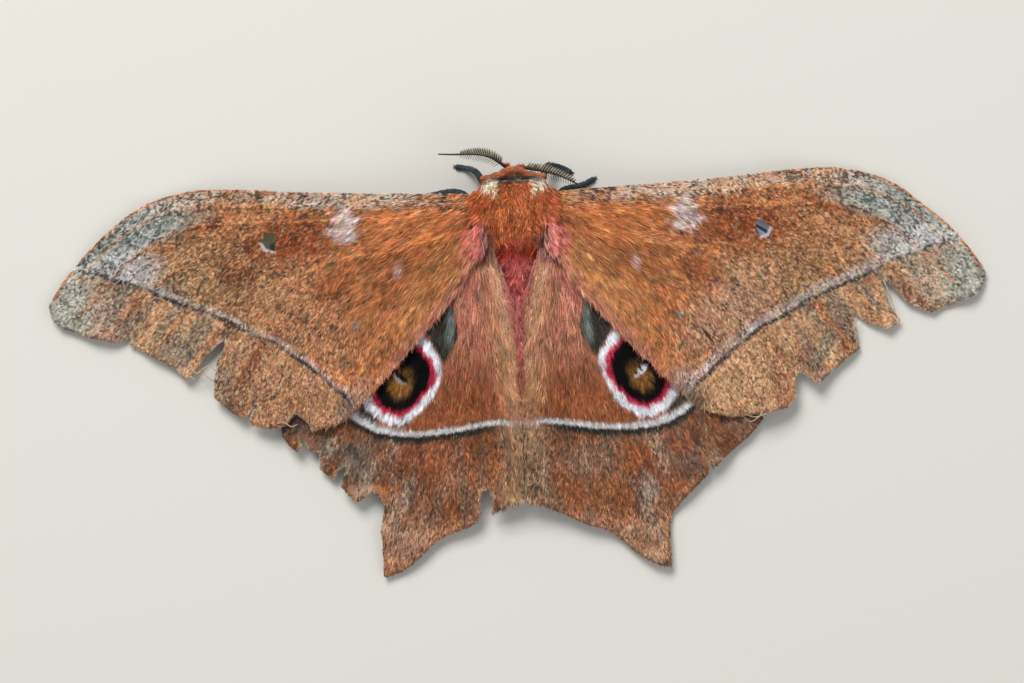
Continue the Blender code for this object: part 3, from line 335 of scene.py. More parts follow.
class MothBodyColours(bpy.types.PropertyGroup):
    thorax: colour("Thorax", "Orange-brown fur of the thorax", "#d47a46")
    shield: colour("Shield", "Lighter fur on the middle of the thorax", "#dc8a52")
    tuft: colour("Tuft", "Orange tufts over the wing roots", "#cd7548")
    stroke: colour("Strokes", "Dark hair among the thorax's fur", "#5a3018")
    cream: colour("Cream", "Cream shoulder patches", "#e8dcc4")
    rear: colour("Rear", "Red-orange rear of the thorax", "#bc3c20")
    rear_tip: colour("Rear tips", "Pink tips of the thorax's rear fur", "#d8684c")
    # Painted shade: violet-grey darkening of the hollows beside the thorax's rear, also laid where the wing roots meet
    # the body
    hollow_shade: colour("Hollow", "Violet-grey hollows beside the thorax's rear", "#82595b")
    crimson: colour("Crimson", "Crimson fur between the wings", "#ee8682")
    wine: colour("Wine", "Dark fur among the crimson", "#7a3238")
    abdomen: colour("Abdomen", "Orange-brown fur of the abdomen", "#b0693f")
    belly: colour("Belly", "Pale fur of the underside", "#a58066")
    collar: colour("Collar", "Band before the thorax", "#cb8058")
    # Painted shade: dark slate-grey in the groove between the collar and the thorax
    groove_shade: colour("Slate", "Dark groove behind the collar", "#7d7268")
    crown: colour("Crown", "Grey fur between the feelers", "#8a7f72")
    face: colour("Face", "Dark fur of the face", "#6b4f3f")
    eye: colour("Eye", "Dark lens of the eyes", "#15100d")
    feeler: colour("Feeler", "Dark horn of the feelers", "#231d18")
    ramus: colour("Ramus", "Cream rods of the feelers", "#d8c8a2")
    leg: colour("Leg", "Slate scales of the legs", "#414a50")


class MothSizes(bpy.types.PropertyGroup):
    wing_pitch: measure("Wing pitch", "Spacing of the wing skin's points, mm", 0.4, 0.2, 1.5)
    wing_scales: amount("Wing scales", "Scales on half of a forewing's upper face", 40000, 500, 49000)
    scale_length: measure("Scale length", "Length factor of the wings' scales", 1.0, 0.3, 3.0)
    scale_width: measure("Scale width", "Width factor of the wings' scales", 1.0, 0.3, 3.0)
    fur_hairs: amount("Fur hairs", "Fine hairs of the body's fur", 46000, 500, 49000)
    fur_locks: amount("Fur locks", "Thicker locks of the body's fur", 6500, 500, 19500)
    fur_length: measure("Fur length", "Length factor of the body's fur", 1.0, 0.3, 2.5)
    feeler_segments: amount("Feeler segments", "Segments with rods on a feeler", 19, 6, 60)
    skin_voxel: measure("Body voxel", "Voxel of the body skin, mm", 0.17, 0.1, 0.6)


class MothStage(bpy.types.PropertyGroup):
    key_power: bpy.props.FloatProperty(name="Key light", description="Power of the soft key light", default=7.5,
                                       min=0.0, subtype="POWER")
    fill_power: bpy.props.FloatProperty(name="Fill light", description="Power of the soft fill light", default=1.6,
                                        min=0.0, subtype="POWER")
    sky: bpy.props.FloatProperty(name="Sky", description="Strength of the even light all round", default=0.42, min=0.0)
    floor: colour("Floor", "Pale floor", "#cfccc4")


def wing_colours():
    return bpy.context.scene.moth_wing_colours


def body_colours():
    return bpy.context.scene.moth_body_colours


def moth_sizes():
    return bpy.context.scene.moth_sizes


# Small maths on arrays
def smooth(x, low, high):
    t = np.clip((np.asarray(x, float) - low) / (high - low), 0.0, 1.0)
    return t * t * (3 - 2 * t)


def hermite(x, table, column=1):
    xs = np.array([row[0] for row in table])
    ys = np.array([row[column] for row in table])
    d = np.diff(ys) / np.diff(xs)
    m = np.zeros(len(xs))
    both = d[:-1] * d[1:]
    total = np.where(d[:-1] + d[1:] == 0, 1.0, d[:-1] + d[1:])
    m[1:-1] = np.where(both > 0, 2 * both / total, 0.0)
    x = np.clip(np.asarray(x, float), xs[0], xs[-1])
    i = np.clip(np.searchsorted(xs, x, side="right") - 1, 0, len(xs) - 2)
    h = xs[i + 1] - xs[i]
    t = (x - xs[i]) / h
    return ((2 * t ** 3 - 3 * t ** 2 + 1) * ys[i] + (t ** 3 - 2 * t ** 2 + t) * m[i] * h
            + (-2 * t ** 3 + 3 * t ** 2) * ys[i + 1] + (t ** 3 - t ** 2) * m[i + 1] * h)


def curve_points(points, step):
    # Smooth line through control points, sampled at about the step
    pts = np.array(points, float)
    pts = np.vstack([pts[0] * 2 - pts[1], pts, pts[-1] * 2 - pts[-2]])
    out = []
    for a, b, c, d in zip(pts, pts[1:], pts[2:], pts[3:]):
        count = max(1, round(float(np.linalg.norm(c - b)) / step))
        for t in np.arange(count) / count:
            out.append(0.5 * (2 * b + (c - a) * t + (2 * a - 5 * b + 4 * c - d) * t * t
                              + (3 * b - a - 3 * c + d) * t ** 3))
    return np.array(out + [pts[-2]])


def ring_points(points, step):
    # Smooth closed loop through control points
    pts = list(points)
    line = curve_points(pts[-2:] + pts + pts[:2], step)
    first = int(np.argmin(np.linalg.norm(line - np.array(pts[0]), axis=1)))
    last = len(line) - 1 - int(np.argmin(np.linalg.norm(line[::-1] - np.array(pts[0]), axis=1)))
    if last <= first:
        return np.array(pts)
    return line[first:last]


GRAIN = np.random.RandomState(5).rand(256, 256)


def grain(x, y, size, seed=0):
    # Smooth random field from 0 to 1 with bumps about the size across
    u = np.asarray(x, float) / size + 31.7 * seed + 400
    v = np.asarray(y, float) / size + 17.3 * seed + 400
    i, j = np.floor(u).astype(int), np.floor(v).astype(int)
    f, g = u - i, v - j
    f, g = f * f * (3 - 2 * f), g * g * (3 - 2 * g)
    a, b = GRAIN[i & 255, j & 255], GRAIN[(i + 1) & 255, j & 255]
    c, d = GRAIN[i & 255, (j + 1) & 255], GRAIN[(i + 1) & 255, (j + 1) & 255]
    return (a * (1 - f) + b * f) * (1 - g) + (c * (1 - f) + d * f) * g


def blob(x, y, cx, cy, rx, ry, turn=0.0):
    # Distance from an ellipse's centre, 1 on its rim
    c, s = cos(radians(turn)), sin(radians(turn))
    u, v = (x - cx) * c + (y - cy) * s, (y - cy) * c - (x - cx) * s
    return np.hypot(u / rx, v / ry)


def line_distance(x, y, line):
    # Distance to a line, positive on its right when it is followed from its start
    best = np.full(len(x), 1e9)
    side = np.ones(len(x))
    for (ax, ay), (bx, by) in zip(line[:-1], line[1:]):
        dx, dy = bx - ax, by - ay
        t = np.clip(((x - ax) * dx + (y - ay) * dy) / max(1e-9, dx * dx + dy * dy), 0, 1)
        d = np.hypot(x - ax - t * dx, y - ay - t * dy)
        turn = np.sign(dy * (x - ax) - dx * (y - ay))
        near = d < best
        best = np.where(near, d, best)
        side = np.where(near, np.where(turn == 0, 1.0, turn), side)
    return best * side


def inside(x, y, loop):
    hit = np.zeros(len(x), bool)
    for (x0, y0), (x1, y1) in zip(loop, np.roll(loop, -1, 0)):
        if y0 != y1:
            cross = (y > y0) != (y > y1)
            hit ^= cross & (x < (x1 - x0) * (y - y0) / (y1 - y0) + x0)
    return hit


def loop_distance(x, y, loop):
    # Distance to a closed loop, negative inside
    closed = np.vstack([loop, loop[:1]])
    d = np.abs(line_distance(x, y, closed))
    return np.where(inside(x, y, loop), -d, d)


def mix(a, b, t):
    t = np.clip(np.asarray(t, float), 0, 1)[..., None]
    return np.asarray(a) * (1 - t) + np.asarray(b) * t


def unit(v):
    return v / np.maximum(1e-9, np.linalg.norm(v, axis=-1, keepdims=True))


def fade(x, low, high):
    # From 1 at the low end to 0 at the high one
    return 1 - smooth(x, low, high)


def nearest(x, y, *lines):
    # Distance to the nearest of the lines
    near = np.full(len(x), 1e9)
    for line in lines:
        near = np.minimum(near, np.abs(line_distance(x, y, line)))
    return near


def spot(x, y, name, noise=0.0):
    # A soft spot of the table, 1 in its middle and 0 outside it
    *place, low, high = SPOTS[name]
    return fade(blob(x, y, *place) + noise, low, high)


def rows(*columns):
    # One row for each point; a lone number fills its column
    return np.stack(np.broadcast_arrays(*columns), axis=1)


def varied(rng, spread, shape):
    # Random factors about 1
    return np.exp(rng.normal(0, spread, shape))


# Wing surface
def hindwing_top(x, y):
    return WING_LOW + (hermite(y, WING_CREST) - WING_LOW) * np.exp(-(np.abs(x) / WING_REACH) ** 1.5)


def wing_top(kind, x, y):
    lap = WING_LAP * fade(np.abs(x), 33.0, 47.0) if kind == "forewing" else 0.0
    return hindwing_top(x, y) + lap


def edge_distance(shape, x, y):
    return nearest(x, y, shape["closed"])


def wing_relief(shape, x, y):
    # Veins stand up, the membrane sags and folds between them, and its free edge curls a little
    seed = shape["seed"]
    near = nearest(x, y, *shape["veins"])
    u, v, _ = wing_flow(shape["kind"], x, y)
    edge = edge_distance(shape, x, y)
    curl = (grain(x, y, 3.2, seed) - 0.5) * 1.2 * np.exp(-(edge / 1.2) ** 2) * smooth(x, 12.0, 20.0)
    fold = (grain(u * 0.22, v, 1.5, seed + 1) - 0.5) * 0.42 * smooth(u, 22, 40)
    sag = 0.18 * smooth(near, 0.2, 2.2) * smooth(x, 6.0, 14.0)
    swell = (grain(x, y, 5.0, seed + 3) - 0.5) * 0.35
    return 0.17 * np.exp(-(near / 0.28) ** 2) - sag + swell + curl + fold - 0.1


def splice(outline, tear):
    tear = np.array(tear)
    a, b = sorted(int(np.argmin(np.linalg.norm(outline - p, axis=1))) for p in (tear[0], tear[-1]))
    return np.vstack([outline[:a], tear, outline[b + 1:]])


def wing_shape(kind, side):
    # Torn outline, slit and veins of one wing, drawn as a right wing; the sign sets it on its side
    if (kind, side) in MADE:
        return MADE[kind, side]
    line = np.vstack([curve_points(part, 1.2) for part in MARGINS[kind]])
    for tear in TEARS[kind, side]:
        line = splice(line, tear)
    kept = [line[0]]
    for p in line[1:]:
        if np.linalg.norm(p - kept[-1]) > 0.12:
            kept.append(p)
    outline = np.array(kept)
    holes = []
    if (kind, side) == ("forewing", "right"):
        mid = curve_points(SLIT_LINE, 0.5)
        ahead = unit(mid[-1] - mid[0])
        wide = np.array([[-ahead[1], ahead[0]]]) * np.sin(np.linspace(0, pi, len(mid)))[:, None] * SLIT_WIDE / 2
        holes.append(np.vstack([mid + wide, (mid - wide)[-2:0:-1]]))
    MADE[kind, side] = {
        "kind": kind, "side": side, "sign": -1.0 if side == "left" else 1.0,
        "seed": {"forewing": 1, "hindwing": 5}[kind] + (side == "right"),
        "outline": outline, "closed": np.vstack([outline, outline[:1]]), "holes": holes,
        "veins": [curve_points(v, 2.0) for v in VEINS[kind]], "torn": [np.array(t) for t in TEARS[kind, side]],
    }
    return MADE[kind, side]


# The lie of the scales: distance from the root, place across the flow, and heading
def forewing_flow(x, y):
    dy = y - 24.0
    r = np.hypot(x, dy)
    phi = np.arctan2(dy, x)
    rs = np.linspace(0.5, 80, 400)
    bend = 0.55 * smooth(rs, 12.0, 38.0)
    twist = np.concatenate([[0], np.cumsum((bend / rs)[:-1] * np.diff(rs))])
    return r, 30.0 * (phi + np.interp(r, rs, twist)), phi - np.arctan(np.interp(r, rs, bend))


def hindwing_flow(x, y):
    dx, dy = x - 5.0, y - 31.0
    phi = np.arctan2(dy, dx)
    inward = -radians(20) * np.exp(-(x / 2.4) ** 2) * smooth(y, -16.0, 2.0) * fade(y, 4.0, 9.0)
    return np.hypot(dx, dy), 30.0 * phi, phi + inward


def wing_flow(kind, x, y):
    return (forewing_flow if kind == "forewing" else hindwing_flow)(x, y)


# Wing pattern: past is the distance beyond the wing's line, dark and pale are the shares of scales in those tones
def forewing_marks(shape, x, y):
    c = wing_colours()
    left = shape["side"] == "left"
    seed = 3 if left else 9
    front, inner = nearest(x, y, MADE["front"]), nearest(x, y, MADE["inner"])
    past = line_distance(x, y, MADE["fore_line"])
    wob = grain(x, y, 1.1, 2) - 0.5
    broad = grain(x, y, 6.0, seed)
    fine = grain(x, y, 1.6, seed + 1)
    u, v, _ = forewing_flow(x, y)
    tooth = grain(u * 0.4, v, 0.5, 8) - 0.5
    streak = grain(u * 0.2, v, 1.1, 6)
    col = mix(c.ground, c.tan, smooth(x, 24, 40) * smooth(y, 22, 12) * (0.5 + 0.6 * broad))
    col = mix(col, c.tan, 0.5 * smooth(fine, 0.55, 0.9) * smooth(x, 14, 24))
    dark = 0.05 + 0.1 * smooth(x, 14, 40) + 0.05 * broad
    pale = 0.03 + 0.16 * smooth(x, 14, 40)
    col = mix(col, c.gold, spot(x, y, "gold") * 0.9)
    col = col * (1 + 0.55 * spot(x, y, "sheen"))[:, None]
    fields = RUST_SPOTS + LEFT_RUST_SPOTS if left else RUST_SPOTS
    rust = np.max([strength * spot(x, y, name) for name, strength in fields], axis=0)
    col = mix(col, c.rust, rust * (0.55 + 0.55 * fine))
    # Painted shade in the hollow where the forewing's root meets the thorax
    col = mix(col, body_colours().hollow_shade, fade(x, 4.7, 5.3) * fade(y, 18.3, 19.3) * 0.85)
    pale = pale * (1 - 0.6 * rust)
    veil = spot(x, y, "veil") * (0.1 if left else 0.27)
    col = mix(col, c.frost, veil * 1.15)
    fleck = smooth(grain(x, y, 0.45, seed + 21), 0.74, 0.84) * smooth(x, 18, 32)
    dark = dark + 0.45 * fleck + 0.15 * veil
    # Beyond the line: tan, red-brown streaks between the veins and grey drawn out towards the margin
    far = smooth(past, -0.1, 0.3)
    outer = mix(c.band, c.rust, 0.6 * smooth(grain(u * 0.2, v, 1.5, seed + 6), 0.42, 0.78) * smooth(x, 28, 38))
    outer = mix(outer, c.ash, 0.7 * smooth(streak, 0.45, 0.75) * smooth(x, 34, 42) * fade(x, 54, 60))
    outer = mix(outer, c.ash, 0.8 * spot(x, y, "ash_margin"))
    if left:
        outer = mix(outer, c.rust, 0.36 * fade(x, 36, 44))
        outer = mix(outer, c.ash, 0.75 * spot(x, y, "ash_left"))
    col = mix(col, outer, far)
    dark = dark * (1 - 0.45 * far)
    tip = np.clip(far * smooth(x, 50, 58) + 0.9 * smooth(x, 58, 62), 0, 1) * smooth(y, 3.0, 7.5)
    col = mix(col, c.apex, tip * (0.25 + 0.5 * smooth(x, 57.5, 61)))
    # Grey field of the wing tip in front of its vein, and a weaker one between the vein and the line
    grey = smooth(line_distance(x, y, MADE["apex_vein"]), -0.4, 0.8) * smooth(x, 39, 49) * (1 - far)
    low = smooth(x, 45, 52) * (1 - far) * smooth(past, -5.0, -1.2)
    grey = np.maximum(grey, low * 0.42)
    col = mix(col, c.apex, grey * 0.9)
    blotch = smooth(grain(x, y, 1.3, seed + 4), 0.6, 0.8)
    dark = dark + grey * (0.04 + 0.5 * blotch) + tip * 0.06
    pale = pale + 0.12 * grey + 0.1 * tip
    dots = [fade(blob(x, y, sx, sy, size * 1.4, size, -25) + wob * 0.6, 0.4, 1.1) for sx, sy, size in TIP_SPOTS]
    dark = dark + np.max(dots, axis=0) * 0.55
    lilac = spot(x, y, "lilac")
    col = mix(col, c.line_pale, lilac * (1 - far) * 0.75)
    pale = pale + 0.12 * lilac * (1 - far)
    # Front strip of mixed scales and its orange rim
    strip = fade(front + wob * 0.8, 1.3, 2.9) * smooth(x, 5.5, 10.0) * fade(x, 44, 53)
    root = fade(x, 9, 20)
    col = mix(col, mix(c.strip, c.rust, root * 0.6), strip * 0.9)
    dark = dark + strip * 0.22
    pale = pale + strip * (0.46 - 0.2 * root - 0.3 * smooth(x, 27, 37))
    col = mix(col, c.vein, fade(front, 0.22, 0.5) * smooth(x, 28, 42) * 0.9)
    # Pale band and dark line; the right wing's band is wider
    reach = 0.0 if left else 0.75
    band = smooth(past, -1.2 - reach, -0.65 - 0.5 * reach) * (1 - far) * smooth(x, 22.0 - reach, 25.0 - reach)
    col = mix(col, c.line_pale, spot(x, y, "corner") * (1 - far) * (0.2 + 0.3 * reach))
    col = mix(col, c.line_pale, band * (0.35 + 0.5 * fine) * (0.7 + 0.3 * smooth(x, 44, 52)))
    line = fade(np.abs(past + wob * 0.3), 0.16, 0.4)
    col = mix(col, c.line_dark, line * (0.62 + 0.38 * smooth(fine, 0.2, 0.6)) * smooth(x, 22.5, 24.5))
    near = nearest(x, y, *shape["veins"])
    vein = fade(near, 0.06, 0.22) * (0.35 * smooth(x, 10, 18) + 0.65 * smooth(x, 40, 47)) * (1 - line)
    col = mix(col, c.vein, vein * 0.75)
    # Patches
    patch = spot(x, y, "patch", tooth * 0.8 + wob * 0.3)
    patch = patch * (0.6 + 0.45 * smooth(grain(u * 0.35, v, 0.26, 14), 0.25, 0.6))
    patch = patch * (1 - 0.8 * spot(x, y, "patch_gap"))
    col = mix(col, c.patch, patch * 0.95)
    col = mix(col, c.patch, spot(x, y, "small_patch", tooth * 0.4) * 0.5)
    col = mix(col, c.apex, spot(x, y, "mote") * 0.7)
    dark = dark * (1 - 0.8 * patch)
    # Window: bare clear membrane, painted with what shows through and on it. The left one has painted shade of the
    # ground beneath, deepest in one spot; the right one has a painted bluish reflection that turns to the same painted
    # shade towards its outer front side, with a dark streak across it
    bare = loop_distance(x, y, np.array(WINDOWS[shape["side"]])) + wob * 0.12 < 0
    if left:
        pane = mix(c.window, c.eye_black, 0.75 * spot(x, y, "window_dark"))
    else:
        pane = mix(c.pane, c.window, 0.6 * smooth(x - 33.9 + y - 17.2, 0.1, 0.5))
        pane = mix(pane, c.eye_black, fade(nearest(x, y, WINDOW_SLASH), 0.14, 0.28) * 0.9)
    col = np.where(bare[:, None], pane, col)
    lip = nearest(x, y, WINDOW_LIP[shape["side"]]) + wob * 0.15
    col = mix(col, c.line_pale, 0.65 * fade(lip, 0.08, 0.28))
    if left:
        col = mix(col, c.line_dark, spot(x, y, "dark_mote") * 0.7)
    else:
        col = mix(col, c.line_dark, spot(x, y, "nick"))
        col = mix(col, c.rust, spot(x, y, "rust_cleft") * 0.6)
    # Pink hair at the root and pale pink towards the inner margin
    col = mix(col, c.pink_hair, spot(x, y, "pink_root", tooth * 0.7) * 0.8)
    col = mix(col, c.fringe, fade(inner + tooth, 0.3, 1.7) * fade(x, 13, 24) * 0.65)
    col = mix(col, c.ash, spot(x, y, "ash_corner") * 0.6)
    dark = np.where(bare, 0, dark) * (0.3 + 1.4 * smooth(grain(x, y, 0.8, seed + 2), 0.2, 0.9))
    return edge_marks(shape, x, y, col), np.clip(dark, 0, 0.9), np.clip(np.where(bare, 0, pale), 0, 0.9), bare


def cleft_width(y):
    # Half of the crimson that shows between the hindwings
    return np.interp(y, (-7.0, -4.0, 0.7, 5.9, 11.2, 13.0), (0.0, 0.3, 0.62, 1.2, 2.15, 2.7))


def hindwing_marks(shape, x, y):
    c = wing_colours()
    body = body_colours()
    left = shape["side"] == "left"
    past = line_distance(x, y, MADE["hind_line"])
    u, v, _ = hindwing_flow(x, y)
    seed = 13 if left else 19
    fine = grain(u * 0.3, v, 0.8, seed)
    broad = grain(x, y, 5.0, seed + 1)
    tooth = grain(u * 0.25, v, 0.3, seed + 2) - 0.5
    col = mix(c.hind_field, c.hind_base, smooth(y + 1.5 * tooth, -5.5, 4.5))
    col = mix(col, c.hind_inner, fade(x, 0.8, 5.0) * smooth(y, -14, 0) * (0.6 + 0.4 * fine))
    col = mix(col, c.pink_hair, 0.4 * fade(np.abs(x - 7.0), 0.4, 2.0) * smooth(y, 2, 9))
    dark = 0.03 + 0.05 * fine
    pale = 0.015 + 0.1 * smooth(y, 0, 8)
    # Painted shade on the hindwing's root where it meets the thorax
    col = mix(col, body.hollow_shade, smooth(y, 12.5, 14.5) * 0.6)
    # Outer part: brick red with ash-grey speckle, tan along the margin and the tail
    far = smooth(past, 0.1, 0.5)
    speckle = smooth(grain(u * 0.3, v, 1.2, seed + 3), 0.5, 0.85)
    outer = mix(c.hind_far, c.ash, (0.5 + 0.2 * smooth(x, 8, 20)) * speckle)
    outer = mix(outer, c.ash, 0.7 * spot(x, y, "ash_hind"))
    outer = mix(outer, c.rim, 0.35 * smooth(x, 22, 28))
    for name in BRICK_SPOTS[shape["side"]]:
        outer = mix(outer, np.array(c.hind_far) * (1.08, 0.86, 0.84), spot(x, y, name) * (0.45 + 0.4 * fine))
    if not left:
        outer = mix(outer, c.frost, 0.3 * spot(x, y, "frost_hind"))
    outer = mix(outer, c.hind_edge, 0.7 * smooth(-y, 20.0, 25.0))
    outer = mix(outer, c.hind_edge, 0.4 * fade(edge_distance(shape, x, y), 0.4, 2.0) * smooth(-y, 14, 19))
    outer = mix(outer, np.array(c.hind_inner) * (0.9, 0.98, 0.96), 0.8 * fade(x, 1.0, 4.0) * (0.8 + 0.4 * fine))
    rime = smooth(grain(u * 0.3, v, 1.4, seed + 8), 0.35, 0.9) * (0.35 + 0.55 * smooth(x, 10, 22))
    tail = fade(np.abs(line_distance(x, y, MADE["tail_vein"]) + 3 * tooth), 0.2, 2.0)
    rime = np.maximum(rime, tail * fade(-y, 23, 27))
    outer = mix(outer, c.frost, 0.4 * rime)
    col = mix(col, outer, far)
    near = nearest(x, y, *shape["veins"])
    col = mix(col, c.frost, fade(near + 0.4 * tooth, 0.05, 0.3) * far * 0.2)
    dark = dark + far * (0.08 + 0.26 * broad)
    pale = pale * (1 - far) + far * (0.01 + 0.16 * rime)
    # White band, with its black edge on the outer side
    col = mix(col, c.shade_patch, spot(x, y, "dusk") * 0.85)
    nap = grain(u * 0.2, v, 0.16, seed + 5) - 0.5
    white = smooth(past + nap * 0.5, -0.8 - 0.5 * smooth(x, 13, 20), -0.25) * fade(past + nap * 0.25, 0.08, 0.3)
    black = smooth(past + nap * 0.25, 0.1, 0.32) * fade(past + nap * 0.7, 0.7, 1.5)
    col = mix(col, c.band_black, black * (0.2 + 0.78 * smooth(x, 1.5, 6)))
    col = mix(col, c.band_white, white * (0.5 + 0.42 * smooth(x, 0.5, 3)))
    # Dark patch above the eyespot, then the eyespot ring by ring
    shade = loop_distance(x, y, MADE["dark_patch"]) + tooth * 0.5
    glint = fade(np.abs(x - 9.3 + 0.12 * (y - 5)), 0.2, 1.0) * smooth(y, 1.5, 4.0)
    col = mix(col, mix(c.shade_patch, c.apex, 0.6 * glint), fade(shade, -0.3, 0.35) * 0.95)
    ring = loop_distance(x, y, MADE["ring_white"]) + tooth * 0.6
    col = mix(col, c.eye_white, fade(ring, -0.3, 0.2))
    red_ring = loop_distance(x, y, MADE["ring_crimson"]) + tooth * 0.6
    deep = mix(c.eye_crimson, c.eye_black, 0.35 * smooth(-red_ring, 0.4, 1.1))
    col = mix(col, deep, fade(red_ring, -0.3, 0.3))
    ring = loop_distance(x, y, MADE["ring_black"]) + tooth * 0.5
    col = mix(col, c.eye_black, fade(ring, -0.2, 0.3))
    ray = grain(np.arctan2(y + 2.5, x - 16.5) * 9 + 60, x * 0 + 3, 0.9, 4)
    pupil = blob(x, y, *PUPIL) + tooth * 0.25
    light = (0.3 + 0.85 * smooth(ray, 0.1, 0.8)) * (1.1 - 0.45 * smooth(pupil, 0.3, 0.95))
    light = light * (0.72 + 0.4 * smooth(-y, 1.0, 4.5))
    col = mix(col, mix(c.eye_ochre, c.rust, 0.45 * fade(ray, 0.3, 0.6)) * light[:, None], fade(pupil, 0.62, 1.1))
    # Pale slit of the pupil: whole on the left wing, broken on the right one
    col = mix(col, c.eye_white, spot(x, y, "slot_lip") * (0.38 if left else 0.85))
    bars = 1.0 if left else smooth(np.abs(np.sin((x + y) * 2.6 + 0.6)), 0.75, 0.95)
    col = mix(col, c.eye_black, spot(x, y, "slot") * bars)
    # Crimson of the cleft between the wings
    red = mix(np.array(body.crimson) * 0.66, body.wine, 0.6 * smooth(fine, 0.4, 0.8))
    col = mix(col, red, fade(x - cleft_width(y) + nap * 0.5, -0.1, 0.25) * smooth(y, -3, 6) * 0.8)
    bare = np.zeros(len(x), bool)
    calm = smooth(np.minimum(np.minimum(red_ring, shade), np.abs(past) - 0.3), -0.1, 1.0)
    dark = np.maximum(dark * calm, 0.2 * fade(pupil, 0.8, 1.0))
    return edge_marks(shape, x, y, col), np.clip(dark, 0, 0.9), np.clip(pale * calm, 0, 0.9), bare


def edge_marks(shape, x, y, col):
    # Dark thin rim of the outer margins, and the pale frayed edges of the tears
    c = wing_colours()
    edge = edge_distance(shape, x, y)
    if shape["kind"] == "forewing":
        outer = smooth(x, 20, 26) * smooth(nearest(x, y, MADE["front"]), 0.5, 1.5)
    else:
        outer = smooth(x, 1.0, 4.0)
    col = mix(col, c.rim, fade(edge, 0.12, 0.4) * 0.45 * outer)
    torn = nearest(x, y, *shape["torn"]) + (grain(x, y, 0.5, 3) - 0.5) * 0.4
    return mix(col, c.torn, fade(torn, 0.05, 0.42) * 0.7)


def prepare_lines():
    for name, points, step in (("front", FOREWING_FRONT, 1.5), ("inner", FOREWING_INNER, 1.5),
                               ("fore_line", FOREWING_LINE[::-1], 1.0), ("apex_vein", APEX_VEIN[::-1], 1.5),
                               ("hind_line", HINDWING_LINE[::-1], 1.0), ("tail_vein", TAIL_VEIN, 1.5)):
        MADE[name] = curve_points(points, step)
    for name, points in (("dark_patch", DARK_PATCH), ("ring_white", RING_WHITE), ("ring_crimson", RING_CRIMSON),
                         ("ring_black", RING_BLACK)):
        MADE[name] = ring_points(points, 0.7)


def wing_marks(shape, x, y, under=False):
    # Colour, share of dark and of pale scales, and where the membrane is bare
    found = (forewing_marks if shape["kind"] == "forewing" else hindwing_marks)(shape, x, y)
    if not under:
        return found
    col, dark, pale, bare = found
    grey = 0.62 + (0.0 if shape["kind"] == "forewing" else 0.3 * smooth(y, -8, -5))
    return np.where(bare[:, None], col, mix(col, wing_colours().under, grey)), dark * 0.8, pale, bare


# Meshes
def mesh_piece(name, verts, faces, smooth_faces=True):
    mesh = bpy.data.meshes.new(name)
    verts = np.asarray(verts, float) * MM
    mesh.from_pydata([tuple(v) for v in verts], [], [tuple(int(i) for i in f) for f in faces], not smooth_faces)
    ob = bpy.data.objects.new(name, mesh)
    bpy.context.scene.collection.objects.link(ob)
    return ob


STORED = {"marking": ("FLOAT_COLOR", "color", 4), "pick": ("INT", "value", 1), "fleck": ("FLOAT", "value", 1),
          "along": ("FLOAT", "value", 1)}


def store(mesh, **values):
    # Keeps a value for each point under its name: vectors, but for the kinds in the table
    n = len(mesh.vertices)
    for name, value in values.items():
        kind, field, width = STORED.get(name, ("FLOAT_VECTOR", "vector", 3))
        value = np.asarray(value)
        if name == "marking":
            value = np.hstack([np.broadcast_to(value, (n, 3)), np.ones((n, 1))])
        value = np.broadcast_to(value, (n, width) if width > 1 else (n,))
        mesh.attributes.new(name, kind, "POINT").data.foreach_set(
            field, np.ascontiguousarray(value, np.int32 if kind == "INT" else np.float32).ravel())


def read_points(mesh, field="co"):
    out = np.zeros(len(mesh.vertices) * 3)
    mesh.vertices.foreach_get(field, out)
    return out.reshape(-1, 3)


def worked_mesh(ob):
    # The mesh that the object's modifiers make
    return bpy.data.meshes.new_from_object(ob.evaluated_get(bpy.context.evaluated_depsgraph_get()))


def outward(ob):
    bm = bmesh.new()
    bm.from_mesh(ob.data)
    bmesh.ops.recalc_face_normals(bm, faces=bm.faces[:])
    bm.to_mesh(ob.data)
    bm.free()


def settle(ob, slot, *nodes):
    # Hands a finished piece to the frame
    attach(ob, "root")
    if nodes:
        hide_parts(*nodes)
    return ob


# Materials
def node(tree, kind, inputs=None, **settings):
    made = tree.nodes.new(kind)
    for key, value in settings.items():
        setattr(made, key, value)
    for key, value in (inputs or {}).items():
        if isinstance(value, bpy.types.NodeSocket):
            tree.links.new(value, made.inputs[key])
        else:
            made.inputs[key].default_value = value
    return made


def new_material(name):
    mat = bpy.data.materials.new(name)
    mat.use_nodes = True
    return mat, mat.node_tree, mat.node_tree.nodes["Principled BSDF"]


def finish_shader(tree, shader, sockets, **values):
    # Links the sockets to the shader and sets its values, which are named with underscores
    for key, socket in sockets.items():
        tree.links.new(socket, shader.inputs[key])
    for key, value in values.items():
        shader.inputs[key.replace("_", " ")].default_value = value


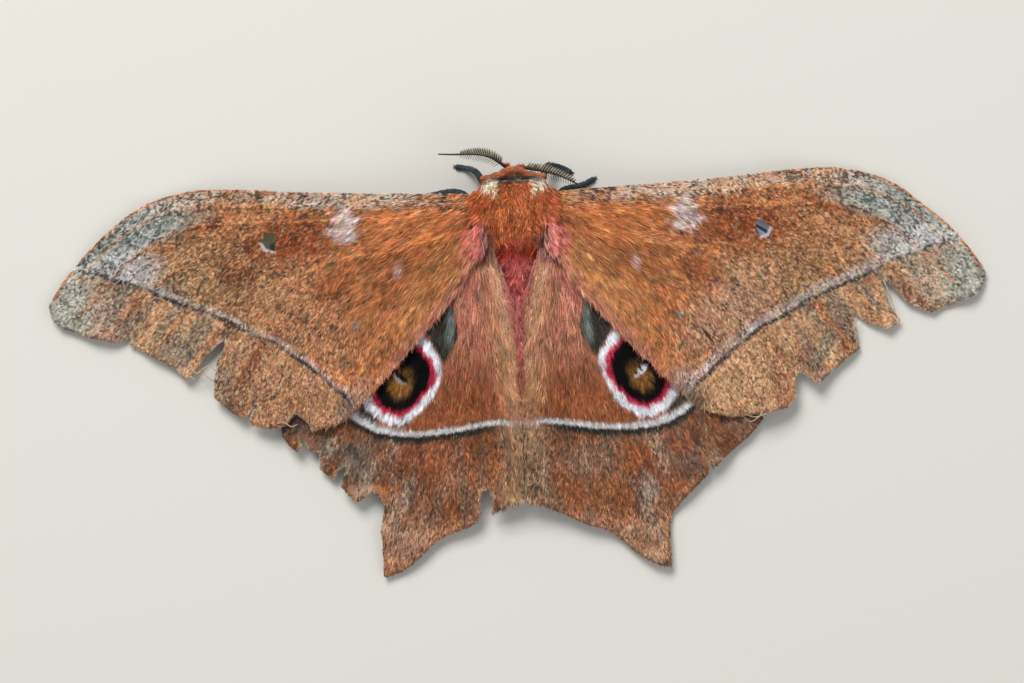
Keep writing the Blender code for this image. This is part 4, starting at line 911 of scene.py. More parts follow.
def coat_material(name, streak, spread, rough, sheen, bump):
    # Overlapping chitin scales or hairs: matt and slightly satin, with each strand a shade of its own.
    # Real hairs are 0.01 to 0.03 mm across; the streaks are drawn about ten times coarser, so that they show
    if name in MADE:
        return MADE[name]
    mat, tree, shader = new_material(name)
    MADE[name] = mat
    marking, lie, along, dark = (node(tree, "ShaderNodeAttribute", attribute_name=key)
                                 for key in ("marking", "lie", "along", "fleck"))
    scaled = node(tree, "ShaderNodeMapping", {"Vector": lie.outputs["Vector"], "Scale": (streak[0], streak[1], 1.0)})
    strands = node(tree, "ShaderNodeTexNoise", {"Vector": scaled.outputs[0], "Scale": 1.0, "Detail": 3.0,
                                                "Roughness": 0.65})
    shade, gloss = (node(tree, "ShaderNodeMapRange", {"Value": strands.outputs["Fac"], "From Min": 0.3,
                                                      "From Max": 0.7, "To Min": mid - half, "To Max": mid + half})
                    for mid, half in ((1.0, spread), (rough, 0.1)))
    reach = node(tree, "ShaderNodeMapRange", {"Value": along.outputs["Fac"], "To Min": 0.82, "To Max": 1.1})
    tone = node(tree, "ShaderNodeMath", {0: shade.outputs[0], 1: reach.outputs[0]}, operation="MULTIPLY")
    base = node(tree, "ShaderNodeMix", {0: 1.0, 6: marking.outputs["Color"], 7: tone.outputs[0]}, data_type="RGBA",
                blend_type="MULTIPLY", clamp_result=False)
    speck = node(tree, "ShaderNodeTexNoise", {"Vector": lie.outputs["Vector"], "Scale": 2.6, "Detail": 2.0})
    cut = node(tree, "ShaderNodeMapRange", {"Value": speck.outputs["Fac"], "From Min": 0.56, "From Max": 0.64})
    flecks = node(tree, "ShaderNodeMath", {0: cut.outputs[0], 1: dark.outputs["Fac"]}, operation="MULTIPLY")
    skin = node(tree, "ShaderNodeMix", {0: flecks.outputs[0], 6: base.outputs[2], 7: (0.04, 0.035, 0.032, 1)},
                data_type="RGBA")
    relief = node(tree, "ShaderNodeBump", {"Height": strands.outputs["Fac"], "Strength": bump, "Distance": 0.0001})
    finish_shader(tree, shader, {"Base Color": skin.outputs[2], "Roughness": gloss.outputs[0],
                                 "Normal": relief.outputs[0]},
                  Specular_IOR_Level=0.12, Sheen_Weight=sheen, Sheen_Roughness=0.5)
    return mat


def wing_scales(kind):
    look = {"forewing": ((0.7, 4.5), 0.26, 0.68, 0.03, 0.5), "hindwing": ((0.5, 5.0), 0.26, 0.7, 0.02, 0.5)}
    return coat_material(kind + "_chitin_scales", *look[kind])


def moth_fur():
    return coat_material("moth_fur", (1.2, 5.0), 0.26, 0.72, 0.08, 0.4)


def leg_scales():
    return coat_material("leg_chitin_scales", (3.0, 6.0), 0.3, 0.55, 0.03, 0.6)


# Tufts: one small shape set on many roots, made solid by Geometry Nodes
SPIKE_FACES = ((0, 2, 1), (0, 1, 4), (0, 4, 3), (1, 2, 5), (1, 5, 4), (2, 0, 3), (2, 3, 5), (3, 4, 6), (4, 5, 6),
               (5, 3, 6))


def tuft_shape(name, kind, sway):
    faces = SPIKE_FACES
    if kind == "scale":
        # A flat tapering scale of four faces
        verts = ((-0.06, -0.5, -0.25), (-0.06, 0.5, -0.25), (0.1, 0.0, 0.6), (1.0, sway * 0.5, 0.55))
        faces = ((0, 2, 1), (0, 1, 3), (1, 2, 3), (2, 0, 3))
    elif kind == "rod":
        verts = ((0.0, -0.5, 0.0), (0.0, 0.5, 0.0), (0.0, 0.0, 1.0), (0.7, -0.35, 0.0), (0.7, 0.35, 0.0),
                 (0.7, 0.0, 0.7), (1.0, 0.0, 0.25))
    else:
        # A lock that rises from its root, bends over and tapers to its tip
        verts = ((-0.06, -0.35, -0.2), (-0.06, 0.35, -0.2), (-0.06, 0.0, 0.25), (0.5, -0.5 + sway * 0.35, 0.35),
                 (0.5, 0.5 + sway * 0.35, 0.35), (0.48, sway * 0.35, 0.85), (1.0, sway * 1.6, 0.3))
    verts = np.array(verts)
    ob = mesh_piece(name, verts / MM, faces, False)
    store(ob.data, along=np.maximum(0.0, verts[:, 0]), patch=verts - (0.5, 0.0, 0.0))
    return ob


def tuft_group(kind):
    if ("tufts", kind) in MADE:
        return MADE["tufts", kind]
    group = bpy.data.collections.new("tufts_" + kind)
    bpy.context.scene.collection.children.link(group)
    for k, sway in enumerate((-1.0, 0.0, 1.0)):
        ob = tuft_shape("tuft_%s_%d" % (kind, k), kind, sway)
        bpy.context.scene.collection.objects.unlink(ob)
        group.objects.link(ob)
    MADE["tufts", kind] = group
    return group


def coat_tree():
    # Sets a tuft on each root, turned and sized by the root's values, with a small place of its own on the unwrap
    if "coat" in bpy.data.node_groups:
        return bpy.data.node_groups["coat"]
    tree = bpy.data.node_groups.new("coat", "GeometryNodeTree")
    for name, kind in (("Roots", "Geometry"), ("Tufts", "Collection"), ("Length", "Float"), ("Width", "Float"),
                       ("Patch", "Float"), ("Material", "Material")):
        tree.interface.new_socket(name, in_out="INPUT", socket_type="NodeSocket" + kind)
    tree.interface.new_socket("Coat", in_out="OUTPUT", socket_type="NodeSocketGeometry")
    given = node(tree, "NodeGroupInput")
    tufts = node(tree, "GeometryNodeCollectionInfo", {"Collection": given.outputs["Tufts"],
                                                      "Separate Children": True, "Reset Children": True})
    turn, size, pick, root, patch = (
        node(tree, "GeometryNodeInputNamedAttribute", {"Name": key},
             data_type="INT" if key == "pick" else "FLOAT_VECTOR").outputs["Attribute"]
        for key in ("turn", "size", "pick", "root", "patch"))
    facing = node(tree, "FunctionNodeEulerToRotation", {"Euler": turn})
    share = node(tree, "ShaderNodeCombineXYZ", {"X": given.outputs["Length"], "Y": given.outputs["Width"],
                                                "Z": given.outputs["Length"]})
    grown = node(tree, "ShaderNodeVectorMath", {0: size, 1: share.outputs[0]}, operation="MULTIPLY")
    placed = node(tree, "GeometryNodeInstanceOnPoints", {
        "Points": given.outputs["Roots"], "Instance": tufts.outputs[0], "Pick Instance": True,
        "Instance Index": pick, "Rotation": facing.outputs[0], "Scale": grown.outputs[0]})
    solid = node(tree, "GeometryNodeRealizeInstances", {"Geometry": placed.outputs[0]})
    spread = node(tree, "ShaderNodeVectorMath", {0: patch, "Scale": given.outputs["Patch"]}, operation="SCALE")
    place = node(tree, "ShaderNodeVectorMath", {0: root, 1: spread.outputs[0]}, operation="ADD")
    unwrap = node(tree, "GeometryNodeStoreNamedAttribute", {"Geometry": solid.outputs[0], "Name": "OFBake",
                                                            "Value": place.outputs[0]},
                  data_type="FLOAT2", domain="CORNER")
    dressed = node(tree, "GeometryNodeSetMaterial", {"Geometry": unwrap.outputs[0],
                                                     "Material": given.outputs["Material"]})
    node(tree, "NodeGroupOutput", {"Coat": dressed.outputs[0]})
    return tree


def coat(name, kind, mat, roots, heading, normal, lift, size, col, lie, place, rng, roll=0.35, length=1.0, width=1.0):
    # Sets tufts on their roots along the heading, each turned, sized and coloured for its place
    n = unit(normal)
    h = unit(heading - n * np.sum(heading * n, axis=1, keepdims=True))
    a = np.cross(n, h)
    lift = np.asarray(lift, float).reshape(-1, 1) * np.ones((len(roots), 1))
    h = h * np.cos(lift) + n * np.sin(lift)
    up = np.cross(h, a)
    turn = rng.normal(0, roll, (len(roots), 1))
    a, up = a * np.cos(turn) + up * np.sin(turn), up * np.cos(turn) - a * np.sin(turn)
    euler = rows(np.arctan2(a[:, 2], up[:, 2]), -np.arcsin(np.clip(h[:, 2], -1, 1)), np.arctan2(h[:, 1], h[:, 0]))
    ob = mesh_piece(name, roots, [])
    store(ob.data, turn=euler, size=size * MM, pick=rng.randint(0, 3, len(roots)),
          root=rows(place[:, 0], place[:, 1], 0.0), marking=col, lie=lie)
    tree = coat_tree()
    mod = ob.modifiers.new("coat", "NODES")
    mod.node_group = tree
    values = {"Tufts": tuft_group(kind), "Length": length, "Width": width, "Patch": TUFT_PATCH, "Material": mat}
    for item in tree.interface.items_tree:
        if item.item_type == "SOCKET" and item.in_out == "INPUT" and item.name in values:
            mod[item.identifier] = values[item.name]
    made = worked_mesh(ob)
    ob.modifiers.remove(mod)
    old, ob.data = ob.data, made
    bpy.data.meshes.remove(old)
    for key in ("turn", "size", "pick", "root", "patch"):
        if key in made.attributes:
            made.attributes.remove(made.attributes[key])
    made.name = name
    if not made.materials:
        made.materials.append(mat)
    return ob


def lattice(outline, pitch):
    # Points in staggered rows over the outline's box
    low, high = outline.min(0), outline.max(0)
    x, y = np.meshgrid(np.arange(low[0], high[0], pitch), np.arange(low[1], high[1], pitch * ROW))
    x = x + (np.arange(len(x)) % 2)[:, None] * pitch / 2
    return x.ravel(), y.ravel()


def outside_holes(shape, x, y):
    ok = np.ones(len(x), bool)
    for hole in shape["holes"]:
        ok &= ~inside(x, y, hole)
    return ok


def scattered(shape, count, rng):
    # Roots spread evenly over a wing
    outline = shape["outline"]
    area = 0.5 * abs(np.sum(outline[:, 0] * np.roll(outline[:, 1], -1) - outline[:, 1] * np.roll(outline[:, 0], -1)))
    pitch = (area / count / ROW) ** 0.5
    x, y = (q + rng.uniform(-0.45, 0.45, q.size) * pitch for q in lattice(outline, pitch))
    ok = inside(x, y, outline) & outside_holes(shape, x, y)
    return x[ok], y[ok]


def skin_thickness(shape, x, y):
    return SKIN_THIN + SKIN_MORE * smooth(edge_distance(shape, x, y), 0.0, SKIN_TAPER)


def wing_frame(shape, x, y, under=False):
    # Height and normal of the wing skin at each place
    kind, e = shape["kind"], 0.15
    z = wing_top(kind, x, y) + wing_relief(shape, x, y)
    zx = (wing_top(kind, x + e, y) - wing_top(kind, x - e, y)) / (2 * e)
    zy = (wing_top(kind, x, y + e) - wing_top(kind, x, y - e)) / (2 * e)
    normal = unit(rows(-zx * shape["sign"], -zy, 1.0))
    if under:
        return z - skin_thickness(shape, x, y), -normal
    return z, normal


def ranked(q):
    # Spreads values evenly from 0 to 1
    out = np.empty(len(q))
    out[np.argsort(q)] = (np.arange(len(q)) + 0.5) / max(1, len(q))
    return out


def flecked(col, dark, pale, rng, spread, x, y, seed):
    # Gives each scale its own shade, with dark and pale ones in flecks of a few scales
    c = wing_colours()
    n = len(col)
    spread = np.broadcast_to(np.asarray(spread, float), (n,))[:, None]
    shade = rng.normal(0, 0.5, (n, 1)) + (grain(x, y, 0.22, seed) - 0.5)[:, None] * 3.4
    out = col * np.exp(shade * spread - 0.05) * np.exp(rng.normal(0, 0.35, (n, 3)) * spread)
    pick = ranked(grain(x, y, 0.22, seed + 11) + rng.uniform(-0.16, 0.16, n))
    out = np.where((pick < dark)[:, None], mix(out, c.dark_scale, rng.uniform(0.6, 1.0, n)), out)
    chalk = mix(c.pale_scale, (0.72, 0.67, 0.59), smooth(pale, 0.2, 0.4))
    cover = rng.uniform(0.3, 0.75, n) + 0.2 * smooth(pale, 0.25, 0.4)
    return np.clip(np.where((pick > 1 - pale)[:, None], mix(out, chalk, cover), out), 0, 1)


def build_wing_skin(kind, side):
    shape = wing_shape(kind, side)
    outline, holes = shape["outline"], shape["holes"]
    rng = np.random.RandomState(shape["seed"] + SEEDS["skin"])
    pts, edges = [], []
    for loop in [outline] + holes:
        dense = []
        for a, b in zip(loop, np.roll(loop, -1, 0)):
            count = max(1, int(np.ceil(np.linalg.norm(b - a) / MARGIN_STEP)))
            for t in np.arange(count) / count:
                fray = rng.normal(0, MARGIN_FRAY, 2) if a[0] > 8.0 and t > 0 else np.zeros(2)
                dense.append(a + (b - a) * t + fray)
        start = len(pts)
        pts += dense
        edges += [(start + i, start + (i + 1) % len(dense)) for i in range(len(dense))]
    x, y = lattice(outline, moth_sizes().wing_pitch)
    ok = inside(x, y, outline) & (edge_distance(shape, x, y) > MARGIN_GAP)
    for hole in holes:
        ok &= loop_distance(x, y, hole) > HOLE_GAP
    pts += list(rows(x[ok], y[ok]))
    if kind == "forewing":
        x, y = (q.ravel() for q in np.meshgrid(np.arange(*WINDOW_COLUMNS), np.arange(*WINDOW_ROWS)))
        near = loop_distance(x, y, np.array(WINDOWS[side])) < WINDOW_GAP
        pts += list(rows(x[near], y[near]))
    flat, _, tris, _, _, _ = delaunay_2d_cdt([Vector(p) for p in pts], edges, [], 1, 1e-5)
    flat = np.array([tuple(p) for p in flat])
    tris = np.array([tuple(t) for t in tris])
    tris = tris[outside_holes(shape, *flat[tris].mean(axis=1).T)]
    x, y = flat.T
    z, _ = wing_frame(shape, x, y)
    n = len(flat)
    top = rows(shape["sign"] * x, y, z)
    low = rows(shape["sign"] * x, y, z - skin_thickness(shape, x, y))
    faces = [tuple(t) for t in tris] + [(a + n, c + n, b + n) for a, b, c in tris]
    seen = dict.fromkeys((t[k], t[(k + 1) % 3]) for t in tris for k in range(3))
    faces += [f for a, b in seen if (b, a) not in seen for f in ((b, a, a + n), (b, a + n, b + n))]
    ob = mesh_piece(kind + "_skin_" + side, np.vstack([top, low]), faces)
    outward(ob)
    col, dark, _, _ = wing_marks(shape, x, y)
    under, dark_under, _, _ = wing_marks(shape, x, y, True)
    u, v, _ = wing_flow(kind, x, y)
    lie = rows(u, v, float(shape["seed"]))
    # The skin's colour is darkened as painted shade under the scales
    store(ob.data, marking=np.vstack([col, under]) * SKIN_SHADE, lie=np.vstack([lie, lie + [0, 0, UNDER_LIE]]),
          fleck=np.concatenate([dark, dark_under]), along=0.6)
    ob.data.materials.append(wing_scales(kind))
    settle(ob, kind + "_scales", kind + "_" + side)


def wing_place(shape, x, y):
    # Place on the unwrap, with a margin of 2 % round the wing
    low, high = shape["outline"].min(0), shape["outline"].max(0)
    span = max(high - low) * 1.06
    return rows((x - low[0]) / span + 0.02, (y - low[1]) / span + 0.02)


def wing_coat(shape, name, x, y, long, wide, tall, lift, rng, under=False, angle=None, tint=None, tones=0.2,
              sink=0.02, reach=0.5):
    # Each scale takes the pattern's colour at the place that its middle covers
    sizes = moth_sizes()
    kind, sign = shape["kind"], shape["sign"]
    n = len(x)
    u, v, phi = wing_flow(kind, x, y)
    long, wide, tall, lift, tones = (np.full(n, q, float) for q in (long, wide, tall, lift, tones))
    if angle is not None:
        phi = np.full(n, angle, float)
    phi = phi + (grain(u * 0.5, v, 0.7, 4) - 0.5) * 0.5 + rng.normal(0, 0.16, n)
    long = long * varied(rng, 0.2, n)
    if angle is None:
        # Scales stop short of the margins, except of the hairy inner ones
        past = ~inside(x + np.cos(phi) * long, y + np.sin(phi) * long, shape["outline"]) & (x > 5.0)
        past &= nearest(x, y, MADE["inner"]) > 0.9
        long = np.where(past, long * 0.4, long)
    col, dark, pale, bare = wing_marks(shape, x + np.cos(phi) * long * reach, y + np.sin(phi) * long * reach, under)
    ok = ~bare & ~(wing_marks(shape, x, y)[3] if kind == "forewing" else bare)
    x, y, u, v, phi, col, dark, pale, long, wide, tall, lift, tones = (
        q[ok] for q in (x, y, u, v, phi, col, dark, pale, long, wide, tall, lift, tones))
    n = len(x)
    if tint is not None:
        col = tint(col, x, y)
    z, normal = wing_frame(shape, x, y, under)
    heading = rows(sign * np.cos(phi), np.sin(phi), 0.0)
    roots = rows(sign * x, y, z) - normal * sink
    size = rows(long, wide * varied(rng, 0.15, n), tall)
    col = flecked(col, dark, pale, rng, tones, x, y, shape["seed"])
    col = np.clip(col * (0.76 + 0.48 * grain(u * 0.5, v, 0.8, 7))[:, None], 0, 1)
    lie = rows(u, v + rng.normal(0, 0.05, n), float(shape["seed"]))
    ob = coat(name, "scale", wing_scales(kind), roots, heading, normal, lift, size, col, lie, wing_place(shape, x, y),
              rng, length=sizes.scale_length, width=sizes.scale_width)
    settle(ob, kind + "_scales")


def build_wing_coats(kind, side):
    # Long hair-like scales near the root, short ones further out, a thinner coat below and the fringes
    shape = wing_shape(kind, side)
    scales = moth_sizes().wing_scales
    rng = np.random.RandomState(shape["seed"] + SEEDS["coat"])
    if kind == "forewing":
        x, y = scattered(shape, scales * 2, rng)
        order = rng.permutation(len(x))
        for part, pick in (("a", order[::2]), ("b", order[1::2])):
            px, py = x[pick], y[pick]
            base = fade(np.hypot(px - 3, (py - 17) * 0.8), 8, 30)
            base = base * (1 - 0.8 * fade(nearest(px, py, MADE["front"]), 1.6, 3.2))
            wing_coat(shape, "forewing_scales_%s_%s" % (side, part), px, py, 0.36 + 1.1 * base, 0.17 - 0.06 * base,
                      0.1 + 0.05 * base, 0.04 + 0.12 * rng.rand(len(px)), rng, tones=0.47 - 0.06 * base)
    else:
        x, y = scattered(shape, int(scales * 1.37), rng)
        hidden = (line_distance(x, y, MADE["inner"]) > 1.6) & (y > -7.5) & (x < 26.0)
        ok = ~hidden | (rng.rand(len(x)) < 0.06)
        x, y = x[ok], y[ok]
        base = smooth(y, -9.5, 2.0) * fade(x, 8.5, 12.0)
        ring = fade(np.hypot(x - 16, y + 1.5), 5.0, 8.0)
        line = fade(nearest(x, y, MADE["hind_line"]), 0.7, 1.8)
        long = (0.55 + 1.1 * base + 0.15 * smooth(y, -13, -9) - 0.12 * ring) * (1 - 0.4 * line)
        wing_coat(shape, "hindwing_scales_" + side, x, y, long, 0.13 - 0.015 * base, 0.09 + 0.06 * base,
                  0.05 + 0.11 * rng.rand(len(x)), rng, tones=0.44 - 0.2 * np.maximum(ring, line))
    x, y = scattered(shape, scales // 6, rng)
    wing_coat(shape, kind + "_under_" + side, x, y, 0.9, 0.3, 0.14, 0.1, rng, under=True)
    rng = np.random.RandomState(shape["seed"] + SEEDS["fringe"])
    build_wing_fringe(shape, rng)
    if kind == "hindwing":
        build_inner_hair(shape, rng)


def along_line(line, count, rng):
    # Even places along a line with its directions
    step = np.linalg.norm(np.diff(line, axis=0), axis=1)
    place = np.concatenate([[0], np.cumsum(step)])
    t = (np.arange(count) + rng.uniform(0, 1, count)) / count * place[-1]
    x, y = np.interp(t, place, line[:, 0]), np.interp(t, place, line[:, 1])
    i = np.clip(np.searchsorted(place, t) - 1, 0, len(step) - 1)
    d = np.diff(line, axis=0)[i] / step[i][:, None]
    return x, y, d


def build_wing_fringe(shape, rng):
    # Short fringe along the outer margins, longer pink hair along the forewing's inner one
    fore = shape["kind"] == "forewing"
    length = np.sum(np.linalg.norm(np.diff(shape["closed"], axis=0), axis=1))
    x, y, d = along_line(shape["closed"], int(length * 24), rng)
    out = rows(-d[:, 1], d[:, 0])
    ok = x > (7.5 if fore else 1.2)
    if fore:
        ok &= (nearest(x, y, MADE["front"]) > 0.4) | (rng.rand(len(x)) < 0.12)
    x, y, out = x[ok], y[ok], out[ok]
    inner = (nearest(x, y, MADE["inner"]) < 0.4) & (x < 25) & fore
    depth = np.where(inner, rng.uniform(0.5, 1.7, len(x)), rng.uniform(0.08, 0.26, len(x)))
    x, y = x - out[:, 0] * depth, y - out[:, 1] * depth
    out_angle, flow = np.arctan2(out[:, 1], out[:, 0]), wing_flow(shape["kind"], x, y)[2]
    angle = np.arctan2(np.sin(out_angle) + np.sin(flow) * 0.5, np.cos(out_angle) + np.cos(flow) * 0.5)

    def pink(col, px, py):
        share = 0.5 * (nearest(px, py, MADE["inner"]) < 2.0) * fade(px, 13, 24) * fore
        return mix(col, wing_colours().fringe, share)

    wing_coat(shape, "%s_fringe_%s" % (shape["kind"], shape["side"]), x, y, np.where(inner, 1.25, 0.25), 0.12,
              np.where(inner, 0.16, 0.1), np.where(inner, 0.06, 0.02), rng, angle=angle, tint=pink, sink=0.05,
              reach=0.0)


def build_inner_hair(shape, rng):
    # Long combed hair of the hindwing's inner margin, which closes over the cleft
    x, y, _ = along_line(curve_points(HINDWING_INNER, 0.5), 5600, rng)
    ok = (y > -18.2) & (y < 13.8)
    x, y = x[ok] + rng.uniform(0.1, 2.2, ok.sum()), y[ok]
    high = smooth(y, 3.0, 8.0)
    edge = fade(np.abs(x - cleft_width(y) - 0.2), 0.3, 0.6) * smooth(y, -9, -3)

    def comb(col, px, py):
        share = (0.1 + 0.75 * grain(px, py, 0.4, 9)) * (0.35 + 0.65 * smooth(py, -6, 6))
        return mix(col, wing_colours().hind_hair, share * smooth(px - cleft_width(py), -0.15, 0.1))

    wing_coat(shape, "hindwing_hair_" + shape["side"], x, y, (0.8 + 0.6 * high) * (1 - 0.42 * edge), 0.09, 0.18,
              0.08 + 0.16 * rng.rand(len(x)) + 0.12 * edge, rng,
              angle=np.arctan2(-1.0, -0.2 - 0.15 * high - 0.45 * edge), tint=comb, reach=0.1)


def plain_values(mesh, col, fleck):
    store(mesh, marking=col, lie=read_points(mesh) / MM, fleck=fleck, along=0.6)


def joined(parts):
    verts, faces = [], []
    for v, f in parts:
        faces += [tuple(i + len(verts) for i in face) for face in f]
        verts += list(v)
    return verts, faces


def build_torn_strips(side):
    # Membrane strips that curl up at the tears
    shape = wing_shape("forewing", side)
    parts = []
    for strip in TORN_STRIPS[side]:
        line = curve_points(strip, 0.15)
        t = np.linspace(0, 1, len(line))
        z = wing_top("forewing", line[:, 0], line[:, 1]) - 0.1 + 0.35 * np.sin(pi * t ** 0.8)
        parts.append(tube_mesh(rows(shape["sign"] * line[:, 0], line[:, 1], z), 0.13 * (1 - 0.65 * t), 7))
    ob = mesh_piece("torn_strips_" + side, *joined(parts))
    outward(ob)
    plain_values(ob.data, wing_colours().torn, 0.5)
    ob.data.materials.append(wing_scales("forewing"))
    settle(ob, "forewing_scales")


# Body
def ring_quads(rings, around, first=0):
    # Quads between rings of points that follow each other
    return [(first + r * around + k, first + r * around + (k + 1) % around, first + (r + 1) * around + (k + 1) % around,
             first + (r + 1) * around + k) for r in range(rings - 1) for k in range(around)]


def capped_rings(rings, around):
    return ring_quads(rings, around) + [tuple(range(around)), tuple(range((rings - 1) * around, rings * around))]


def loft_mesh(table, power, around, along):
    ys = np.linspace(table[0][0], table[-1][0], along)
    half, low, high = (hermite(ys, table, k)[:, None] for k in (1, 2, 3))
    a = 2 * pi * np.arange(around) / around
    px, pz = (np.sign(q) * np.abs(q) ** (2 / power) for q in (np.cos(a), np.sin(a)))
    x = half * px
    z = (low + high) / 2 + (high - low) / 2 * pz
    verts = np.stack([x, np.repeat(ys[:, None], around, 1), z], axis=2).reshape(-1, 3)
    return verts, capped_rings(along, around)


def ball_mesh(centre, half, rings, around):
    cx, cy, cz = centre
    verts = [(cx, cy, cz - half[2])]
    for r in range(1, rings):
        lat = pi * r / rings - pi / 2
        for k in range(around):
            a = 2 * pi * k / around
            verts.append((cx + half[0] * cos(lat) * cos(a), cy + half[1] * cos(lat) * sin(a), cz + half[2] * sin(lat)))
    verts.append((cx, cy, cz + half[2]))
    faces = [(0, 1 + (k + 1) % around, 1 + k) for k in range(around)] + ring_quads(rings - 1, around, 1)
    a = 1 + (rings - 2) * around
    faces += [(a + k, a + (k + 1) % around, len(verts) - 1) for k in range(around)]
    return np.array(verts), faces


def tube_mesh(points, radii, sides, floor=None):
    points = np.asarray(points, float)
    verts = []
    for k, p in enumerate(points):
        ahead = unit(points[min(k + 1, len(points) - 1)] - points[max(k - 1, 0)])
        side = unit(np.cross(ahead, UP))
        top = np.cross(side, ahead)
        for s in range(sides):
            a = 2 * pi * (s + 0.5) / sides
            q = p + (side * cos(a) + top * sin(a)) * radii[k]
            if floor is not None:
                q[2] = max(q[2], floor)
            verts.append(q)
    return np.array(verts), capped_rings(len(points), sides)


def collar_rim(x):
    return COLLAR_BACK + 0.42 + 1.05 * np.exp(-(x / 1.6) ** 2) - 0.1 * np.abs(x / COLLAR_SPAN) ** 3


def collar_mesh():
    # A band across the body's width, lower and thinner towards its ends
    sections, verts = 40, []
    for u in (-1 + 2 * k / sections for k in range(sections + 1)):
        x = u * COLLAR_SPAN
        rim = float(collar_rim(x))
        high = COLLAR_LOW + 1.9 * (1.0 - 0.25 * u ** 4)
        half = 0.34 * (1.0 - 0.35 * u ** 4)
        verts += [(x, y, z) for y, z in (
            (COLLAR_BACK - 0.6, COLLAR_LOW + 0.6), (rim - half - 0.3, COLLAR_LOW + 1.3), (rim - half, high - 0.2),
            (rim - half * 0.3, high), (rim + half * 0.6, high - 0.1), (rim + half, COLLAR_LOW + 1.2),
            (rim + half * 0.4, COLLAR_LOW + 0.2), (COLLAR_BACK, COLLAR_LOW - 0.3))]
    return np.array(verts), capped_rings(sections + 1, 8)


def body_marks(p, normal):
    c = body_colours()
    x, y, z = np.abs(p[:, 0]), p[:, 1], p[:, 2]
    fine, broad = grain(p[:, 0], y, 0.9, 21), grain(p[:, 0], y, 2.6, 22)
    # Abdomen, with dark seams between its rings and crimson fur in front
    col = mix(c.abdomen, c.belly, smooth(-normal[:, 2], -0.2, 0.7))
    ring = smooth(np.abs(np.sin(pi * (ABDOMEN_FRONT - y) / ABDOMEN_LONG * ABDOMEN_RINGS)), 0.0, 0.5)
    col = mix(col, c.wine, (1 - ring) * 0.45 * smooth(-y, -6.0, 0.0))
    vee = smooth(y, 3.0, 6.5) * smooth(normal[:, 2], 0.1, 0.5)
    col = mix(col, mix(c.crimson, c.wine, smooth(fine, 0.45, 0.8) * 0.6 + 0.25 * smooth(y, 10.5, 12.5)), vee)
    # Thorax
    back = smooth(y, 13.6, 15.0)
    fur = mix(c.thorax, c.rear, 0.2 * smooth(broad, 0.4, 0.9))
    fur = mix(fur, c.shield, fade(x, 1.9, 2.7) * smooth(y, 16.0, 17.0) * fade(y, 22.2, 23.6) * 0.8)
    fur = mix(fur, c.rear_tip, 0.22 * fade(y, 16.5, 19.5))
    fur = mix(fur, c.rear, fade(y, 14.8, 16.6) * fade(x, 2.6, 3.4))
    fur = mix(fur, c.rear_tip, fade(np.abs(y - 15.8 - 0.2 * x + fine - 0.5), 0.2, 0.8) * fade(x, 1.9, 2.8))
    fur = fur * (1 - 0.22 * smooth(x, 2.7, 3.5))[:, None]
    fur = mix(fur, c.belly, 0.6 * fade(z, 3.5, 6.0))
    # Painted shade in the groove just behind the collar
    fur = mix(fur, c.groove_shade, smooth(y, 23.85, 24.15) * fade(x, 2.2, 2.9) * smooth(z, 6.5, 7.5))
    col = mix(col, fur, back)
    seam = fade(np.abs(x - 2.5 - 0.05 * (y - 20)), 0.1, 0.45)
    col = mix(col, c.stroke, seam * 0.3 * back * smooth(z, 8.0, 9.0) * fade(y, 22.5, 23.5))
    # Painted shade in the hollows beside the thorax's rear
    col = mix(col, c.hollow_shade, spot(x, y, "hollow_shade") * smooth(z, 5.0, 7.0) * 0.9)
    cream = np.maximum(spot(x, y, "cream_shoulder", (fine - 0.5) * 0.5),
                       0.8 * spot(x, y, "cream_back", (fine - 0.5) * 0.6))
    col = mix(col, c.cream, cream * smooth(z, 7.5, 8.4) * smooth(y, 21.5, 23.0))
    # Head and collar
    crown = fade(np.abs(p[:, 0] - 0.3), 0.8, 1.4) * smooth(z, 3.5, 5.0)
    col = mix(col, mix(c.face, c.crown, crown), smooth(y, 24.2, 24.8) * fade(z, 6.9, 7.4))
    # The collar's back slope down into the groove gets the same painted shade
    groove = smooth(collar_rim(x) - y, 0.95, 1.15) + smooth(25.2 - y, 0.0, 0.2)
    groove = np.minimum(groove, 1) * fade(x, 2.5, 3.4)
    return mix(col, mix(c.collar, c.groove_shade, groove), smooth(z, 7.0, 7.3) * smooth(y, 24.8, 24.95))


def build_body_skin():
    # Trunk, head, collar, neck, feeler bases and palps, grown into one skin
    parts = [loft_mesh(TRUNK, TRUNK_POWER, 72, 150), ball_mesh(HEAD_CENTRE, HEAD_HALF, 24, 36), collar_mesh(),
             tube_mesh([(0, 22.0, 4.7), (0, 23.4, 4.7), (0, 24.6, 4.6)], (1.6, 1.3, 1.4), 20)]
    for side, sign in (("left", -1), ("right", 1)):
        end = np.array(FEELER_LINE[side][0])
        root = np.array((sign * 0.75, 25.7, 5.6))
        parts.append(tube_mesh([root, (root + end) / 2, end], (0.55, 0.46, 0.36), 14))
        palp = np.array((sign * 0.6, 26.1, 3.6))
        parts.append(tube_mesh([palp, palp + (sign * 0.05, 0.55, 0.0), palp + (sign * 0.08, 0.85, 0.6)],
                               (0.32, 0.34, 0.14), 12))
    ob = mesh_piece("body_skin", *joined(parts))
    outward(ob)
    mod = ob.modifiers.new("one skin", "REMESH")
    mod.mode = "VOXEL"
    mod.voxel_size = moth_sizes().skin_voxel * MM
    soft = ob.modifiers.new("soften", "SMOOTH")
    soft.factor = 0.5
    soft.iterations = 4
    made = worked_mesh(ob)
    ob.modifiers.clear()
    ob.data = made
    made.name = "body_skin"
    outward(ob)
    made.polygons.foreach_set("use_smooth", np.ones(len(made.polygons), bool))
    p, q = read_points(made) / MM, read_points(made, "normal")
    MADE["body"] = (p, q)
    # The skin's colour is darkened as painted shade under the fur
    store(made, marking=body_marks(p, q) * BODY_SHADE, lie=body_lie(p), fleck=0.3, along=0.3)
    made.materials.clear()
    made.materials.append(moth_fur())
    settle(ob, "thorax_fur", "thorax", "abdomen", "head", "collar")


